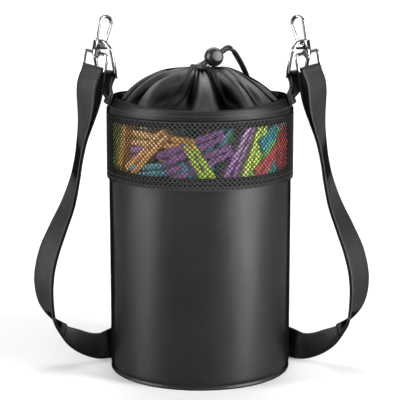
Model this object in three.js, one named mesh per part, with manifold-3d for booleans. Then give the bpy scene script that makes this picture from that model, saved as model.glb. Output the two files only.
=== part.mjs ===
// A peg bag: a standing cloth tube with a netting window, a drawn cover over its mouth,
// two snap hooks clipped to side rings, and a webbing shoulder strap hung from the hooks.
// Millimetres, +Z up. The origin is the middle of the base, the front is towards -Y.
import * as THREE from 'three';
import { mergeVertices } from 'three/addons/utils/BufferGeometryUtils.js';
import Module from 'manifold-3d';

const wasm = await Module();
wasm.setup();

// Clearance between pieces that touch
const FIT = 0.3;

// Wall and base
const WALL_RADIUS = 80;
const WALL_FABRIC = 1;
const FOAM = 1.6;
const LINING = 0.6;
const BASE_FABRIC = 1.2;
const BASE_BOARD = 2;
const SEAM_TAPE_WIDTH = 18;
const SEAM_TAPE = 0.8;

// Sides of round pieces, from the widest to the thinnest
const ROUND_STEPS = 48;
const PART_STEPS = 20;
const WIRE_SIDES = 8;
const TURN_STEPS = 8;

// Netting window
const MESH_OUT = 1.7;
const MESH_THICKNESS = 0.9;
const MESH_BOTTOM = 172;
const MESH_HEIGHT = 60;
const MESH_HEM = 8;
const WALL_LAP = 10;

// Rim
const RIM_OUT = 1.5;
const RIM_BAND = 6;
const RIM_RISE = 5.5;
const RIM_PULL = 4.5;
const RIM_FABRIC = 1;
const RIM_SKIRT = 5.6;
const RIM_LAP = 10;
const HOOP_WIRE = 2.2;

// Gathered cover
const COVER_FABRIC = 0.8;
const COVER_SKIRT = 2;
const COVER_DROP = 5;
const COVER_CROWN = 28;
const COVER_SWELL = 2.3;
const COVER_TILT = 1.2;
const COVER_FOLDS = 9;
const FOLD_DEPTH = 2.6;
const FOLD_EASE = 0.8;
const COVER_RINGS = 7;
const RING_CROWD = 1.4;
const SKIN_TURN = 2.5;

// Drawcord and its lock
const CORD = 2.5;
const CORD_LOOP_RADIUS = 7.2;
const LOCK_RADIUS = 8.5;
const LOCK_AT = [12, -3, 38];
const LOCK_YAW = 25;
const LOCK_PITCH = 10;
const LOCK_CORD_TURN = 62;
const BUTTON_RADIUS = 4.6;
const BUTTON_OUT = 8.2;
const BUTTON_IN = 2.4;
const BUTTON_TRAVEL = 2;
const LOCK_BORE_DEPTH = 5.8;
const LOCK_SPRING_WIRE = 0.6;
const LOCK_SPRING_RADIUS = 3.2;
const LOCK_SPRING_TURNS = 2;
const KNOT = [8, 6.5, 5.5];
const KNOT_LIFT = 1.8;

// Snap hooks, in their own frame: X towards the gate, Z up the swivel post
const HOOK_OUT = 9.4;
const RIGHT_SHIFT = 2.8;
const HOOK_FORWARD = 5;
const HOOK_ABOVE_RIM = 36.5;
const HOOK_ROLL = 9.5;
const HOOK_YAW = 43;
const HOOK_WIRE = 3.2;
const HOOK_BEND = 6.5;
const HOOK_SPINE = 1.7;
const HOOK_SHANK = 25.2;
const HOOK_PLATE = 4.8;
const SADDLE_OFF = 2.9;
const SADDLE_HEIGHT = 7.4;
const POST_RADIUS = 1.6;
const POST_HEAD_RADIUS = 2.6;
const POST_HEAD = 1.5;
const PIVOT_X = 7.4;
const PIVOT_Z = 6.4;
const EAR_RADIUS = 3;
const GATE_BLADE = 1.8;
const GATE_WIDTH = 2.2;
const GATE_HUB = 2.5;
const PIN_RADIUS = 0.8;
const LEAF = 0.3;
const LEAF_WIDTH = 1.4;
const LEAF_FOOT = 1;
const LEAF_KNEE = 3.2;
const LEAF_REACH = 9;

// Swivel eyes
const EYE_WIRE = 3;
const EYE_HEIGHT = 14.5;
const EYE_YAW = -45;
const EYE_CORNER = 3;
const BOSS_RADIUS = 3.5;
const BOSS_HEIGHT = 5.5;

// Side tabs and rings
const TAB_WIDTH = 18;
const TAB_WEBBING = 1.4;
const TAB_LAP = 6.5;
const TAB_BACK = 3;
const TAB_LAYERS_GAP = 0.9;
const RING_WIRE = 3.4;
const RING_INNER = 20.8;
const RING_HEIGHT = 29.5;
const RING_LEAN = 12;
const RING_PLAY = 1.1;
const RING_CORNER = 3;

// Shoulder strap
const STRAP_WIDTH = 25;
const STRAP_WEBBING = 1.4;
const STRAP_CLEAR = 0.7;
const STRAP_BACK_GAP = 7;
const STRAP_RUN = 30;
const SLIDER_BAR = 3;
const SLIDER_PITCH = 9;
const SLIDER_PLATE = 2;

// Clothes pegs
const PEG_LENGTH = 58;
const PEG_SPREAD = 12;
const PEG_WIDTH = 9;
const PEG_RINGS = [0.866, 0.728, 0.59];
const FILL_BELOW_WALL = 6;

// Derived sizes
const LINING_RADIUS = WALL_RADIUS - WALL_FABRIC - FOAM - LINING - 2 * FIT;
const MESH_RADIUS = WALL_RADIUS + MESH_OUT;
const MESH_TOP = MESH_BOTTOM + MESH_HEIGHT;
const WALL_TOP = MESH_BOTTOM + WALL_LAP;
const RIM_RADIUS = WALL_RADIUS + RIM_OUT;
const RIM_TOP = MESH_TOP + FIT + RIM_BAND;
const HOOP_CHANNEL = HOOP_WIRE + 2 * FIT;
const RIM_INNER = WALL_RADIUS - 2 * RIM_FABRIC - HOOP_CHANNEL;
const COVER_RADIUS = RIM_INNER - FIT;
const COVER_TOP = RIM_TOP + COVER_CROWN;
const MOUTH_RADIUS = CORD_LOOP_RADIUS + CORD / 2 + FIT;
const STRAP_LOW = STRAP_WIDTH / 2 + FIT + SLIDER_PLATE + STRAP_CLEAR;
const STRAP_SIDE = STRAP_WIDTH / 2 + FIT;
const FILL_TOP = WALL_TOP - FILL_BELOW_WALL;

const degrees = THREE.MathUtils.degToRad;
const vector = (x, y, z) => new THREE.Vector3(x, y, z);
const mirrored = (v) => vector(-v.x, v.y, v.z);

// Materials
const finish = (color, roughness, metalness) => (
  new THREE.MeshStandardMaterial({ color, roughness, metalness }));
const oxford = () => finish(0x26272a, 0.75, 0);
const nylon = () => finish(0x2b2c2f, 0.55, 0);
const netting = () => finish(0x1c1c1e, 0.8, 0);
const webbing = () => finish(0x222326, 0.8, 0);
const foam = () => finish(0x3a3a3c, 0.9, 0);
const board = () => finish(0x303032, 0.8, 0);
const cordage = () => finish(0x161617, 0.8, 0);
const lockPlastic = () => finish(0x1e1f21, 0.45, 0);
const buttonPlastic = () => finish(0x8f9292, 0.5, 0);
const chrome = () => finish(0xd9dadc, 0.12, 1);
const springSteel = () => finish(0x9a9c9f, 0.35, 1);
const pegPlastic = (color) => finish(color, 0.4, 0);

// One closed body: shared vertices merged, empty triangles dropped, faces pointing out
function closedBody(geometry) {
  const bare = new THREE.BufferGeometry();
  bare.setAttribute('position', geometry.getAttribute('position').clone());
  if (geometry.index) bare.setIndex(geometry.index.clone());
  const merged = mergeVertices(bare, 1e-4);
  const position = merged.getAttribute('position');
  const corners = [vector(0, 0, 0), vector(0, 0, 0), vector(0, 0, 0)];
  const faces = [];
  let volume = 0;
  for (let i = 0; i < merged.index.count; i += 3) {
    const face = [0, 1, 2].map((k) => merged.index.getX(i + k));
    if (new Set(face).size < 3) continue;
    face.forEach((v, k) => corners[k].fromBufferAttribute(position, v));
    volume += corners[0].dot(corners[1].cross(corners[2]));
    faces.push(face);
  }
  merged.setIndex(faces.flatMap(([a, b, c]) => (volume < 0 ? [a, c, b] : [a, b, c])));
  return merged;
}

function toSolid(geometry) {
  const body = closedBody(geometry);
  return new wasm.Manifold(new wasm.Mesh({
    numProp: 3,
    vertProperties: new Float32Array(body.getAttribute('position').array),
    triVerts: new Uint32Array(body.index.array),
  }));
}

function toGeometry(solid) {
  const mesh = solid.getMesh();
  const geometry = new THREE.BufferGeometry();
  geometry.setAttribute('position', new THREE.BufferAttribute(new Float32Array(mesh.vertProperties), 3));
  geometry.setIndex(new THREE.BufferAttribute(new Uint32Array(mesh.triVerts), 1));
  return geometry;
}

// Skin over a row of like sections, either capped at both ends or closed on itself.
// The second half of each section is split the other way, so a strip's two faces stay parallel.
function loft(sections, closed) {
  const count = sections[0].length;
  const points = sections.flat();
  const faces = [];
  const spans = closed ? sections.length : sections.length - 1;
  for (let i = 0; i < spans; i += 1) {
    const here = i * count;
    const next = ((i + 1) % sections.length) * count;
    for (let j = 0; j < count; j += 1) {
      const k = (j + 1) % count;
      if (j < count / 2) faces.push(here + j, next + j, next + k, here + j, next + k, here + k);
      else faces.push(here + j, next + j, here + k, next + j, next + k, here + k);
    }
  }
  if (!closed) {
    const last = (sections.length - 1) * count;
    for (let j = 1; j < count - 1; j += 1) {
      faces.push(0, j, j + 1, last, last + j + 1, last + j);
    }
  }
  const geometry = new THREE.BufferGeometry().setFromPoints(points);
  geometry.setIndex(faces);
  return geometry;
}

// Ring turned about Z from a closed outline of [radius, height] points
function turned(outline) {
  const points = [...outline, outline[0]].map(([r, z]) => new THREE.Vector2(r, z));
  return new THREE.LatheGeometry(points, ROUND_STEPS).rotateX(Math.PI / 2);
}

const sleeve = (inner, outer, low, high) => (
  turned([[inner, low], [outer, low], [outer, high], [inner, high]]));

const disc = (radius, low, high) => new THREE.CylinderGeometry(radius, radius, high - low, ROUND_STEPS)
  .rotateX(Math.PI / 2).translate(0, 0, (low + high) / 2);

// Round bar along an open curve
function bar(curve, radius, steps, sides) {
  const section = new THREE.Shape(
    Array.from({ length: sides }, (_, i) => {
      const angle = (2 * Math.PI * i) / sides;
      return new THREE.Vector2(radius * Math.cos(angle), radius * Math.sin(angle));
    }),
  );
  return new THREE.ExtrudeGeometry(section, { extrudePath: curve, steps, bevelEnabled: false });
}

// Round wire bent into a closed loop that lies in the XZ plane
function wireLoop(outline, radius, sides) {
  const points = outline.getPoints(4).slice(0, -1).map((p) => vector(p.x, 0, p.y));
  const sections = points.map((point, i) => {
    const before = points[(i + points.length - 1) % points.length];
    const after = points[(i + 1) % points.length];
    const along = after.clone().sub(before).normalize();
    const inward = vector(0, 1, 0).cross(along);
    return Array.from({ length: sides }, (_, k) => {
      const angle = (2 * Math.PI * (k + 0.5)) / sides;
      const section = point.clone().addScaledVector(inward, radius * Math.cos(angle));
      section.y += radius * Math.sin(angle);
      return section;
    });
  });
  return loft(sections, true);
}

// Flat webbing along stations, each a centre point and the direction across the width
function strip(stations, width, thickness) {
  const sections = stations.map(({ at, across, face }) => {
    const half = across.clone().multiplyScalar(width / 2);
    const skin = face.clone().multiplyScalar(thickness / 2);
    return [
      at.clone().add(half).add(skin), at.clone().sub(half).add(skin),
      at.clone().sub(half).sub(skin), at.clone().add(half).sub(skin),
    ];
  });
  return loft(sections, false);
}

// Squares each station's width and face to the way the webbing runs
function squared(stations) {
  return stations.map(({ at, across }, i) => {
    const before = stations[Math.max(i - 1, 0)].at;
    const after = stations[Math.min(i + 1, stations.length - 1)].at;
    const along = after.clone().sub(before).normalize();
    const side = across.clone().addScaledVector(along, -across.dot(along)).normalize();
    return { at, across: side, face: along.clone().cross(side) };
  });
}

const bag = new THREE.Group();

function add(parent, name, geometry, material) {
  const mesh = new THREE.Mesh(closedBody(geometry), material);
  mesh.name = name;
  parent.add(mesh);
  return mesh;
}

// Base: cloth bottom with a stiff board on it, both inside the wall
const baseInside = BASE_FABRIC + FIT;
add(bag, 'base_panel', disc(WALL_RADIUS - WALL_FABRIC - FIT, 0, BASE_FABRIC), oxford());
add(bag, 'base_board', disc(LINING_RADIUS - LINING, baseInside, baseInside + BASE_BOARD), board());

// Wall: outer cloth, foam and lining, closed by a taped seam at the back
add(bag, 'wall_shell', sleeve(WALL_RADIUS - WALL_FABRIC, WALL_RADIUS, 0, WALL_TOP), oxford());
const foamOuter = WALL_RADIUS - WALL_FABRIC - FIT;
add(bag, 'wall_foam', sleeve(foamOuter - FOAM, foamOuter, baseInside, WALL_TOP), foam());
add(bag, 'wall_lining', sleeve(LINING_RADIUS, LINING_RADIUS + LINING, baseInside, WALL_TOP), nylon());

const tapeInner = WALL_RADIUS + FIT;
const tapeAngle = SEAM_TAPE_WIDTH / 2 / WALL_RADIUS;
const tapeShape = new THREE.Shape();
tapeShape.absarc(0, 0, tapeInner + SEAM_TAPE, Math.PI / 2 - tapeAngle, Math.PI / 2 + tapeAngle, false);
tapeShape.absarc(0, 0, tapeInner, Math.PI / 2 + tapeAngle, Math.PI / 2 - tapeAngle, true);
const seamTape = new THREE.ExtrudeGeometry(tapeShape, {
  depth: MESH_BOTTOM - FIT - BASE_FABRIC,
  bevelEnabled: false,
  curveSegments: 4,
});
add(bag, 'wall_seam_tape', seamTape.translate(0, 0, BASE_FABRIC), oxford());

// Netting window: hems at both edges lie on the wall and on the rim's skirt
const hemInner = WALL_RADIUS + FIT;
const netInner = MESH_RADIUS - MESH_THICKNESS;
add(bag, 'mesh_band', turned([
  [hemInner, MESH_BOTTOM], [MESH_RADIUS, MESH_BOTTOM], [MESH_RADIUS, MESH_TOP], [hemInner, MESH_TOP],
  [hemInner, MESH_TOP - MESH_HEM], [netInner, MESH_TOP - MESH_HEM - MESH_OUT],
  [netInner, MESH_BOTTOM + MESH_HEM + MESH_OUT], [hemInner, MESH_BOTTOM + MESH_HEM],
]), netting());

// The rim stands higher and is drawn inwards at the two tabs, where the bag hangs
const rimRise = (angle) => RIM_RISE * Math.cos(angle) ** 2;
const rimPull = (angle) => RIM_PULL * Math.cos(angle) ** 2;

function raised(geometry, above) {
  const position = geometry.getAttribute('position');
  for (let i = 0; i < position.count; i += 1) {
    if (position.getZ(i) < above) continue;
    const angle = Math.atan2(position.getY(i), position.getX(i));
    const radius = Math.hypot(position.getX(i), position.getY(i)) - rimPull(angle);
    position.setXYZ(i, radius * Math.cos(angle), radius * Math.sin(angle), position.getZ(i) + rimRise(angle));
  }
  return geometry;
}

// Rim: cloth folded over a wire hoop, its outer skirt behind the netting's upper hem
const skirtInner = WALL_RADIUS - RIM_FABRIC;
const foldUnder = RIM_TOP - RIM_FABRIC;
add(bag, 'rim_band', raised(turned([
  [skirtInner, MESH_TOP - RIM_LAP], [WALL_RADIUS, MESH_TOP - RIM_LAP], [WALL_RADIUS, MESH_TOP + FIT],
  [RIM_RADIUS, MESH_TOP + FIT], [RIM_RADIUS, RIM_TOP], [RIM_INNER, RIM_TOP],
  [RIM_INNER, RIM_TOP - RIM_SKIRT], [RIM_INNER + RIM_FABRIC, RIM_TOP - RIM_SKIRT],
  [RIM_INNER + RIM_FABRIC, foldUnder], [skirtInner, foldUnder],
]), MESH_TOP + 2 * FIT), oxford());

const hoopRadius = skirtInner - FIT - HOOP_WIRE / 2;
const hoop = new THREE.TorusGeometry(hoopRadius, HOOP_WIRE / 2, 6, ROUND_STEPS);
add(bag, 'rim_hoop', raised(hoop.translate(0, 0, foldUnder - FIT - HOOP_WIRE / 2), 0), springSteel());

// Gathered cover: a skirt inside the rim, then a folded dome drawn in to a small mouth.
// It sits lower and smoother on the side where the drawcord lies.
function coverHeight(angle, radius) {
  const edge = RIM_TOP + rimRise(angle) - COVER_DROP;
  const reach = COVER_RADIUS - rimPull(angle);
  const inside = 1 - (radius / reach) ** COVER_SWELL;
  const share = (reach - radius) / (reach - MOUTH_RADIUS);
  const right = Math.cos(angle);
  const fold = FOLD_DEPTH * (1 - FOLD_EASE * Math.max(0, right)) * Math.cos(COVER_FOLDS * angle + Math.PI);
  return edge + (COVER_TOP - edge) * inside + Math.sin(Math.PI * share) * (fold - COVER_TILT * right);
}

function coverSection(angle) {
  const edge = RIM_TOP + rimRise(angle) - COVER_DROP;
  const reach = COVER_RADIUS - rimPull(angle);
  const outer = [[reach, edge - COVER_SKIRT]];
  const inner = [[reach - COVER_FABRIC, edge - COVER_SKIRT]];
  for (let i = 0; i <= COVER_RINGS; i += 1) {
    const share = (i / COVER_RINGS) ** RING_CROWD;
    const radius = reach + (MOUTH_RADIUS - reach) * share;
    const height = coverHeight(angle, radius);
    const turn = Math.min(1, SKIN_TURN * share);
    outer.push([radius, height]);
    inner.push([radius - COVER_FABRIC * (1 - turn), height - COVER_FABRIC]);
  }
  return [...outer, ...inner.reverse()]
    .map(([r, z]) => vector(r * Math.cos(angle), r * Math.sin(angle), z));
}

const coverAngles = Array.from({ length: ROUND_STEPS }, (_, i) => (2 * Math.PI * i) / ROUND_STEPS);
add(bag, 'gathered_cover', loft(coverAngles.map(coverSection), true), nylon());

// Drawcord: a loop round the mouth, and two tails through the lock to a knot on the cover
const cordLoop = new THREE.TorusGeometry(CORD_LOOP_RADIUS, CORD / 2, WIRE_SIDES, PART_STEPS);
add(bag, 'drawcord_loop', cordLoop.translate(0, 0, COVER_TOP - COVER_FABRIC / 2), cordage());

const lockCentre = vector(LOCK_AT[0], LOCK_AT[1], RIM_TOP + LOCK_AT[2]);
const lock = new THREE.Group();
lock.position.copy(lockCentre);
lock.rotation.set(degrees(-LOCK_PITCH), degrees(LOCK_CORD_TURN), degrees(LOCK_YAW), 'ZXY');
bag.add(lock);
lock.updateMatrix();

// Middle of the two tails from the loop, through the lock and past it, measured from the lock's centre,
// and how far the pair has turned from the lock's slot to lying flat
const TAIL_ROUTE = [
  [8.6, 5, 5.2], [11.7, 6.5, 7.1], [14.6, 7.6, 6.7], [17.3, 8.8, 4.2], [20.2, 10.2, -0.2], [23, 11.8, -5],
  [25.8, 14, -10.5], [28, 17.5, -15.2], [29.3, 23, -18.4], [29.5, 29, -20.9], [29, 35, -23.1], [28, 41, -25],
];
const TAIL_TURN = [0.05, 0.2, 0.4, 0.6, 0.8, 0.95, 1, 1, 1, 1, 1, 1];
const TAIL_START = [-10.4, -4.6, -6.6];
const TAIL_STRAIGHT = [-8, 0, 7];
const tailPitch = CORD + 2 * FIT;
const lockAcross = vector(1, 0, 0).transformDirection(lock.matrix);
const lockCordway = vector(0, 0, 1).transformDirection(lock.matrix);
const tailFlat = vector(0.9, 0, -0.44).normalize();

const tailRoute = [
  vector(...TAIL_START).add(lockCentre),
  ...TAIL_STRAIGHT.map((along) => lockCentre.clone().addScaledVector(lockCordway, along)),
  ...TAIL_ROUTE.map((p) => vector(...p).add(lockCentre)),
];
const tailTurn = [0, ...TAIL_STRAIGHT.map(() => 0), ...TAIL_TURN];
const tailSides = squared(tailRoute.map((at, i) => (
  { at, across: lockAcross.clone().lerp(tailFlat, tailTurn[i]) })));
const tailPoints = (side) => tailSides.map(({ at, across }) => (
  at.clone().addScaledVector(across, (side * tailPitch) / 2)));

const TAIL_STEPS = 30;
['drawcord_tail_front', 'drawcord_tail_back'].forEach((name, i) => {
  const route = new THREE.CatmullRomCurve3(tailPoints(i === 0 ? 1 : -1));
  add(bag, name, bar(route, CORD / 2, TAIL_STEPS, WIRE_SIDES), cordage());
});

const [tailBefore, tailEnd] = tailRoute.slice(-2);
const tailWay = tailEnd.clone().sub(tailBefore).normalize();
const knot = add(bag, 'drawcord_knot', new THREE.SphereGeometry(0.5, 12, 8).scale(...KNOT), cordage());
knot.position.copy(tailEnd).addScaledVector(tailWay, KNOT[0] / 2 + 2 * FIT);
knot.position.z += KNOT_LIFT;
knot.quaternion.setFromUnitVectors(vector(1, 0, 0), tailWay);

// Cord lock, in its own frame: button towards -Y, cord along Z, strands side by side along X
const slotWidth = 2 * CORD + 4 * FIT;
const slotDepth = CORD + 2 * FIT;
const boreRadius = BUTTON_RADIUS + FIT;
const alongY = (geometry, near, far) => geometry.translate(0, (near + far) / 2, 0);
const bore = alongY(
  new THREE.CylinderGeometry(boreRadius, boreRadius, LOCK_RADIUS + LOCK_BORE_DEPTH, PART_STEPS),
  -LOCK_RADIUS,
  LOCK_BORE_DEPTH,
);
const lockSlot = new THREE.BoxGeometry(slotWidth, slotDepth, 3 * LOCK_RADIUS);
const lockBall = toSolid(
  new THREE.SphereGeometry(LOCK_RADIUS, PART_STEPS, PART_STEPS / 2).rotateX(Math.PI / 2),
);
const lockBody = lockBall.subtract(toSolid(bore)).subtract(toSolid(lockSlot));
add(lock, 'cord_lock_body', toGeometry(lockBody), lockPlastic());

const plunger = alongY(
  new THREE.CylinderGeometry(BUTTON_RADIUS, BUTTON_RADIUS, BUTTON_OUT + BUTTON_IN, PART_STEPS),
  -BUTTON_OUT,
  BUTTON_IN,
);
const plungerSlot = new THREE.BoxGeometry(slotWidth, slotDepth + BUTTON_TRAVEL, 3 * LOCK_RADIUS)
  .translate(0, -BUTTON_TRAVEL / 2, 0);
const lockButton = toSolid(plunger).subtract(toSolid(plungerSlot));
add(lock, 'cord_lock_button', toGeometry(lockButton), buttonPlastic());

class Coil extends THREE.Curve {
  constructor(radius, turns, length) {
    super();
    this.radius = radius;
    this.turns = turns;
    this.length = length;
  }

  getPoint(t, target = new THREE.Vector3()) {
    const angle = 2 * Math.PI * this.turns * t;
    return target.set(this.radius * Math.cos(angle), this.length * t, this.radius * Math.sin(angle));
  }
}

const springLow = BUTTON_IN + FIT + LOCK_SPRING_WIRE / 2;
const springHigh = LOCK_BORE_DEPTH - FIT - LOCK_SPRING_WIRE / 2;
const coil = new Coil(LOCK_SPRING_RADIUS, LOCK_SPRING_TURNS, springHigh - springLow);
const lockSpring = bar(coil, LOCK_SPRING_WIRE / 2, 8 * LOCK_SPRING_TURNS, 5).translate(0, springLow, 0);
add(lock, 'cord_lock_spring', lockSpring, springSteel());
console.log('gap between the turns of the lock spring:',
  ((springHigh - springLow) / LOCK_SPRING_TURNS - LOCK_SPRING_WIRE).toFixed(2));

// Hook body: swivel post with a head, slotted base plate with a saddle, and the bent hook
function hookBody() {
  const shank = new THREE.CurvePath();
  const foot = vector(-HOOK_SPINE, 0, SADDLE_HEIGHT - HOOK_WIRE);
  const shoulder = vector(-HOOK_SPINE, 0, HOOK_SHANK);
  const bendCentre = HOOK_BEND - HOOK_SPINE;
  const bend = Array.from({ length: TURN_STEPS + 1 }, (_, i) => {
    const angle = Math.PI * (1 - i / TURN_STEPS);
    return vector(bendCentre + HOOK_BEND * Math.cos(angle), 0, HOOK_SHANK + HOOK_BEND * Math.sin(angle));
  });
  shank.add(new THREE.LineCurve3(foot, shoulder));
  bend.slice(1).forEach((point, i) => shank.add(new THREE.LineCurve3(bend[i], point)));
  const hook = toSolid(bar(shank, HOOK_WIRE / 2, 22, 10));

  const plate = new THREE.Shape();
  const left = -HOOK_SPINE - HOOK_WIRE / 2;
  const right = -HOOK_SPINE + HOOK_WIRE / 2;
  const low = BOSS_HEIGHT / 2 + FIT;
  plate.moveTo(left, low + HOOK_WIRE / 2);
  plate.lineTo(left + HOOK_WIRE / 2, low);
  plate.lineTo(PIVOT_X, PIVOT_Z - EAR_RADIUS);
  plate.absarc(PIVOT_X, PIVOT_Z, EAR_RADIUS, -Math.PI / 2, Math.PI * 0.9, false);
  plate.lineTo(PIVOT_X - EAR_RADIUS, SADDLE_HEIGHT);
  plate.lineTo(right, SADDLE_HEIGHT);
  plate.lineTo(right, SADDLE_HEIGHT + HOOK_WIRE);
  plate.lineTo(left, SADDLE_HEIGHT + HOOK_WIRE);
  const upright = (shape, depth) => new THREE.ExtrudeGeometry(shape, {
    depth,
    bevelEnabled: false,
    curveSegments: 10,
  }).translate(0, 0, -depth / 2).rotateX(Math.PI / 2);
  const base = toSolid(upright(plate, HOOK_PLATE));

  const slotRadius = EAR_RADIUS + 2 * FIT;
  const gateSlot = new THREE.CylinderGeometry(slotRadius, slotRadius, GATE_BLADE + 2 * FIT, PART_STEPS)
    .translate(PIVOT_X, 0, PIVOT_Z);
  const pinHole = new THREE.CylinderGeometry(PIN_RADIUS + FIT, PIN_RADIUS + FIT, 2 * HOOK_PLATE, 12)
    .translate(PIVOT_X, 0, PIVOT_Z);

  const headLow = -BOSS_HEIGHT / 2 - FIT - POST_HEAD;
  const postTop = low + POST_HEAD;
  const post = new THREE.CylinderGeometry(POST_RADIUS, POST_RADIUS, postTop - headLow, 14)
    .rotateX(Math.PI / 2).translate(0, 0, (postTop + headLow) / 2);
  const head = new THREE.CylinderGeometry(POST_HEAD_RADIUS, POST_HEAD_RADIUS, POST_HEAD, 14)
    .rotateX(Math.PI / 2).translate(0, 0, headLow + POST_HEAD / 2);
  return toGeometry(base.add(hook).subtract(toSolid(gateSlot)).subtract(toSolid(pinHole))
    .add(toSolid(post)).add(toSolid(head)));
}

// Gate: a flat blade from its hub on the pin to just under the hook's nose
const gateTip = vector(2 * HOOK_BEND - HOOK_SPINE, 0, HOOK_SHANK - 2 * FIT - GATE_WIDTH / 2);
const gateLean = Math.atan2(gateTip.x - PIVOT_X, gateTip.z - PIVOT_Z);

function hookGate() {
  const reach = Math.hypot(gateTip.x - PIVOT_X, gateTip.z - PIVOT_Z);
  const blade = new THREE.Shape();
  const neck = Math.asin(GATE_WIDTH / 2 / GATE_HUB);
  blade.absarc(0, 0, GATE_HUB, Math.PI / 2 + neck, Math.PI / 2 - neck + 2 * Math.PI, false);
  blade.absarc(0, reach, GATE_WIDTH / 2, 0, Math.PI, false);
  const hole = new THREE.Path();
  hole.absarc(0, 0, PIN_RADIUS + FIT, 0, 2 * Math.PI, true);
  blade.holes.push(hole);
  return new THREE.ExtrudeGeometry(blade, { depth: GATE_BLADE, bevelEnabled: false, curveSegments: 10 })
    .translate(0, 0, -GATE_BLADE / 2).rotateX(Math.PI / 2).rotateY(gateLean);
}

// Leaf spring: rises between the hub and the slot's wall, then along the gate's inner edge
function gateLeaf() {
  const clear = GATE_WIDTH / 2 + FIT + LEAF;
  const along = (up, aside) => vector(
    PIVOT_X + up * Math.sin(gateLean) - aside * Math.cos(gateLean),
    0,
    PIVOT_Z + up * Math.cos(gateLean) + aside * Math.sin(gateLean),
  );
  const hubSide = GATE_HUB + FIT + LEAF / 2;
  const leaf = new THREE.CatmullRomCurve3([
    vector(PIVOT_X - hubSide, 0, PIVOT_Z - LEAF_FOOT), vector(PIVOT_X - hubSide, 0, PIVOT_Z + 2 * FIT),
    along(LEAF_KNEE, clear + 2 * LEAF), along((LEAF_KNEE + LEAF_REACH) / 2, clear), along(LEAF_REACH, clear),
  ]);
  const section = new THREE.Shape([
    new THREE.Vector2(-LEAF_WIDTH / 2, -LEAF / 2), new THREE.Vector2(LEAF_WIDTH / 2, -LEAF / 2),
    new THREE.Vector2(LEAF_WIDTH / 2, LEAF / 2), new THREE.Vector2(-LEAF_WIDTH / 2, LEAF / 2),
  ]);
  return new THREE.ExtrudeGeometry(section, { extrudePath: leaf, steps: 12, bevelEnabled: false });
}

// Swivel eye: a wire frame for the strap, with a boss on its upper bar for the hook's post
const eyeWidth = STRAP_WIDTH + 2 * FIT + EYE_WIRE;

function roundedFrame(width, low, high, corner, topCorner) {
  const frame = new THREE.Shape();
  frame.absarc(width / 2 - corner, low + corner, corner, -Math.PI / 2, 0, false);
  frame.absarc(width / 2 - topCorner, high - topCorner, topCorner, 0, Math.PI / 2, false);
  frame.absarc(-width / 2 + topCorner, high - topCorner, topCorner, Math.PI / 2, Math.PI, false);
  frame.absarc(-width / 2 + corner, low + corner, corner, Math.PI, Math.PI * 1.5, false);
  frame.closePath();
  return frame;
}

function swivelEye() {
  const outline = roundedFrame(eyeWidth, -EYE_HEIGHT, 0, EYE_CORNER / 2, EYE_CORNER);
  const frame = wireLoop(outline, EYE_WIRE / 2, WIRE_SIDES);
  const boss = new THREE.CylinderGeometry(BOSS_RADIUS, BOSS_RADIUS, BOSS_HEIGHT, PART_STEPS)
    .rotateX(Math.PI / 2);
  const hole = new THREE.CylinderGeometry(POST_RADIUS + FIT, POST_RADIUS + FIT, 2 * BOSS_HEIGHT, 14)
    .rotateX(Math.PI / 2);
  return toGeometry(toSolid(frame).add(toSolid(boss)).subtract(toSolid(hole)));
}

// One side's layout, worked out as if on the left; a right side is its mirror image
const parts = {
  hook: hookBody(),
  gate: hookGate(),
  leaf: gateLeaf(),
  eye: swivelEye(),
  pin: new THREE.CylinderGeometry(PIN_RADIUS, PIN_RADIUS, HOOK_PLATE, 10),
};
const pivot = vector(PIVOT_X, 0, PIVOT_Z);

// Group turned to the swivel's axis, then about it by a yaw
function swivelGroup(side, centre, yaw) {
  const group = new THREE.Group();
  group.position.copy(side < 0 ? centre : mirrored(centre));
  group.rotation.set(0, -side * degrees(HOOK_ROLL), side < 0 ? degrees(yaw) : Math.PI - degrees(yaw));
  group.updateMatrix();
  return group;
}

// Side rings: each hangs from its tab's fold and rests in its hook's saddle
const ringWidth = RING_INNER + RING_WIRE;
const ringOutline = roundedFrame(ringWidth, 0, RING_HEIGHT, RING_CORNER, ringWidth / 2);
const ringGeometry = wireLoop(ringOutline, RING_WIRE / 2, WIRE_SIDES);
const saddle = vector(SADDLE_OFF, 0, SADDLE_HEIGHT + RING_PLAY + RING_WIRE / 2);
const ringBar = vector(Math.sin(degrees(HOOK_YAW)), -Math.cos(degrees(HOOK_YAW)), 0);
const ringOut = vector(-Math.cos(degrees(HOOK_YAW)), -Math.sin(degrees(HOOK_YAW)), 0);
const ringUp = ringOut.clone().multiplyScalar(Math.sin(degrees(RING_LEAN)));
ringUp.z = Math.cos(degrees(RING_LEAN));

// Side tabs: doubled webbing up the outside of the rim, given a quarter twist and turned over the ring's bar
const tabTurn = RING_WIRE / 2 + FIT + TAB_WEBBING / 2;
const tabPitch = TAB_WEBBING + TAB_LAYERS_GAP;
const tabOff = 2 * FIT + TAB_WEBBING / 2 + tabPitch / 2;
const rimAtTab = RIM_TOP + RIM_RISE;
const rimSlant = RIM_PULL / (RIM_BAND + RIM_RISE);
const tabAlong = vector(0, 1, 0);
const tabAcross = ringBar.clone().negate();
const TAB_STEPS = 12;

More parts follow.
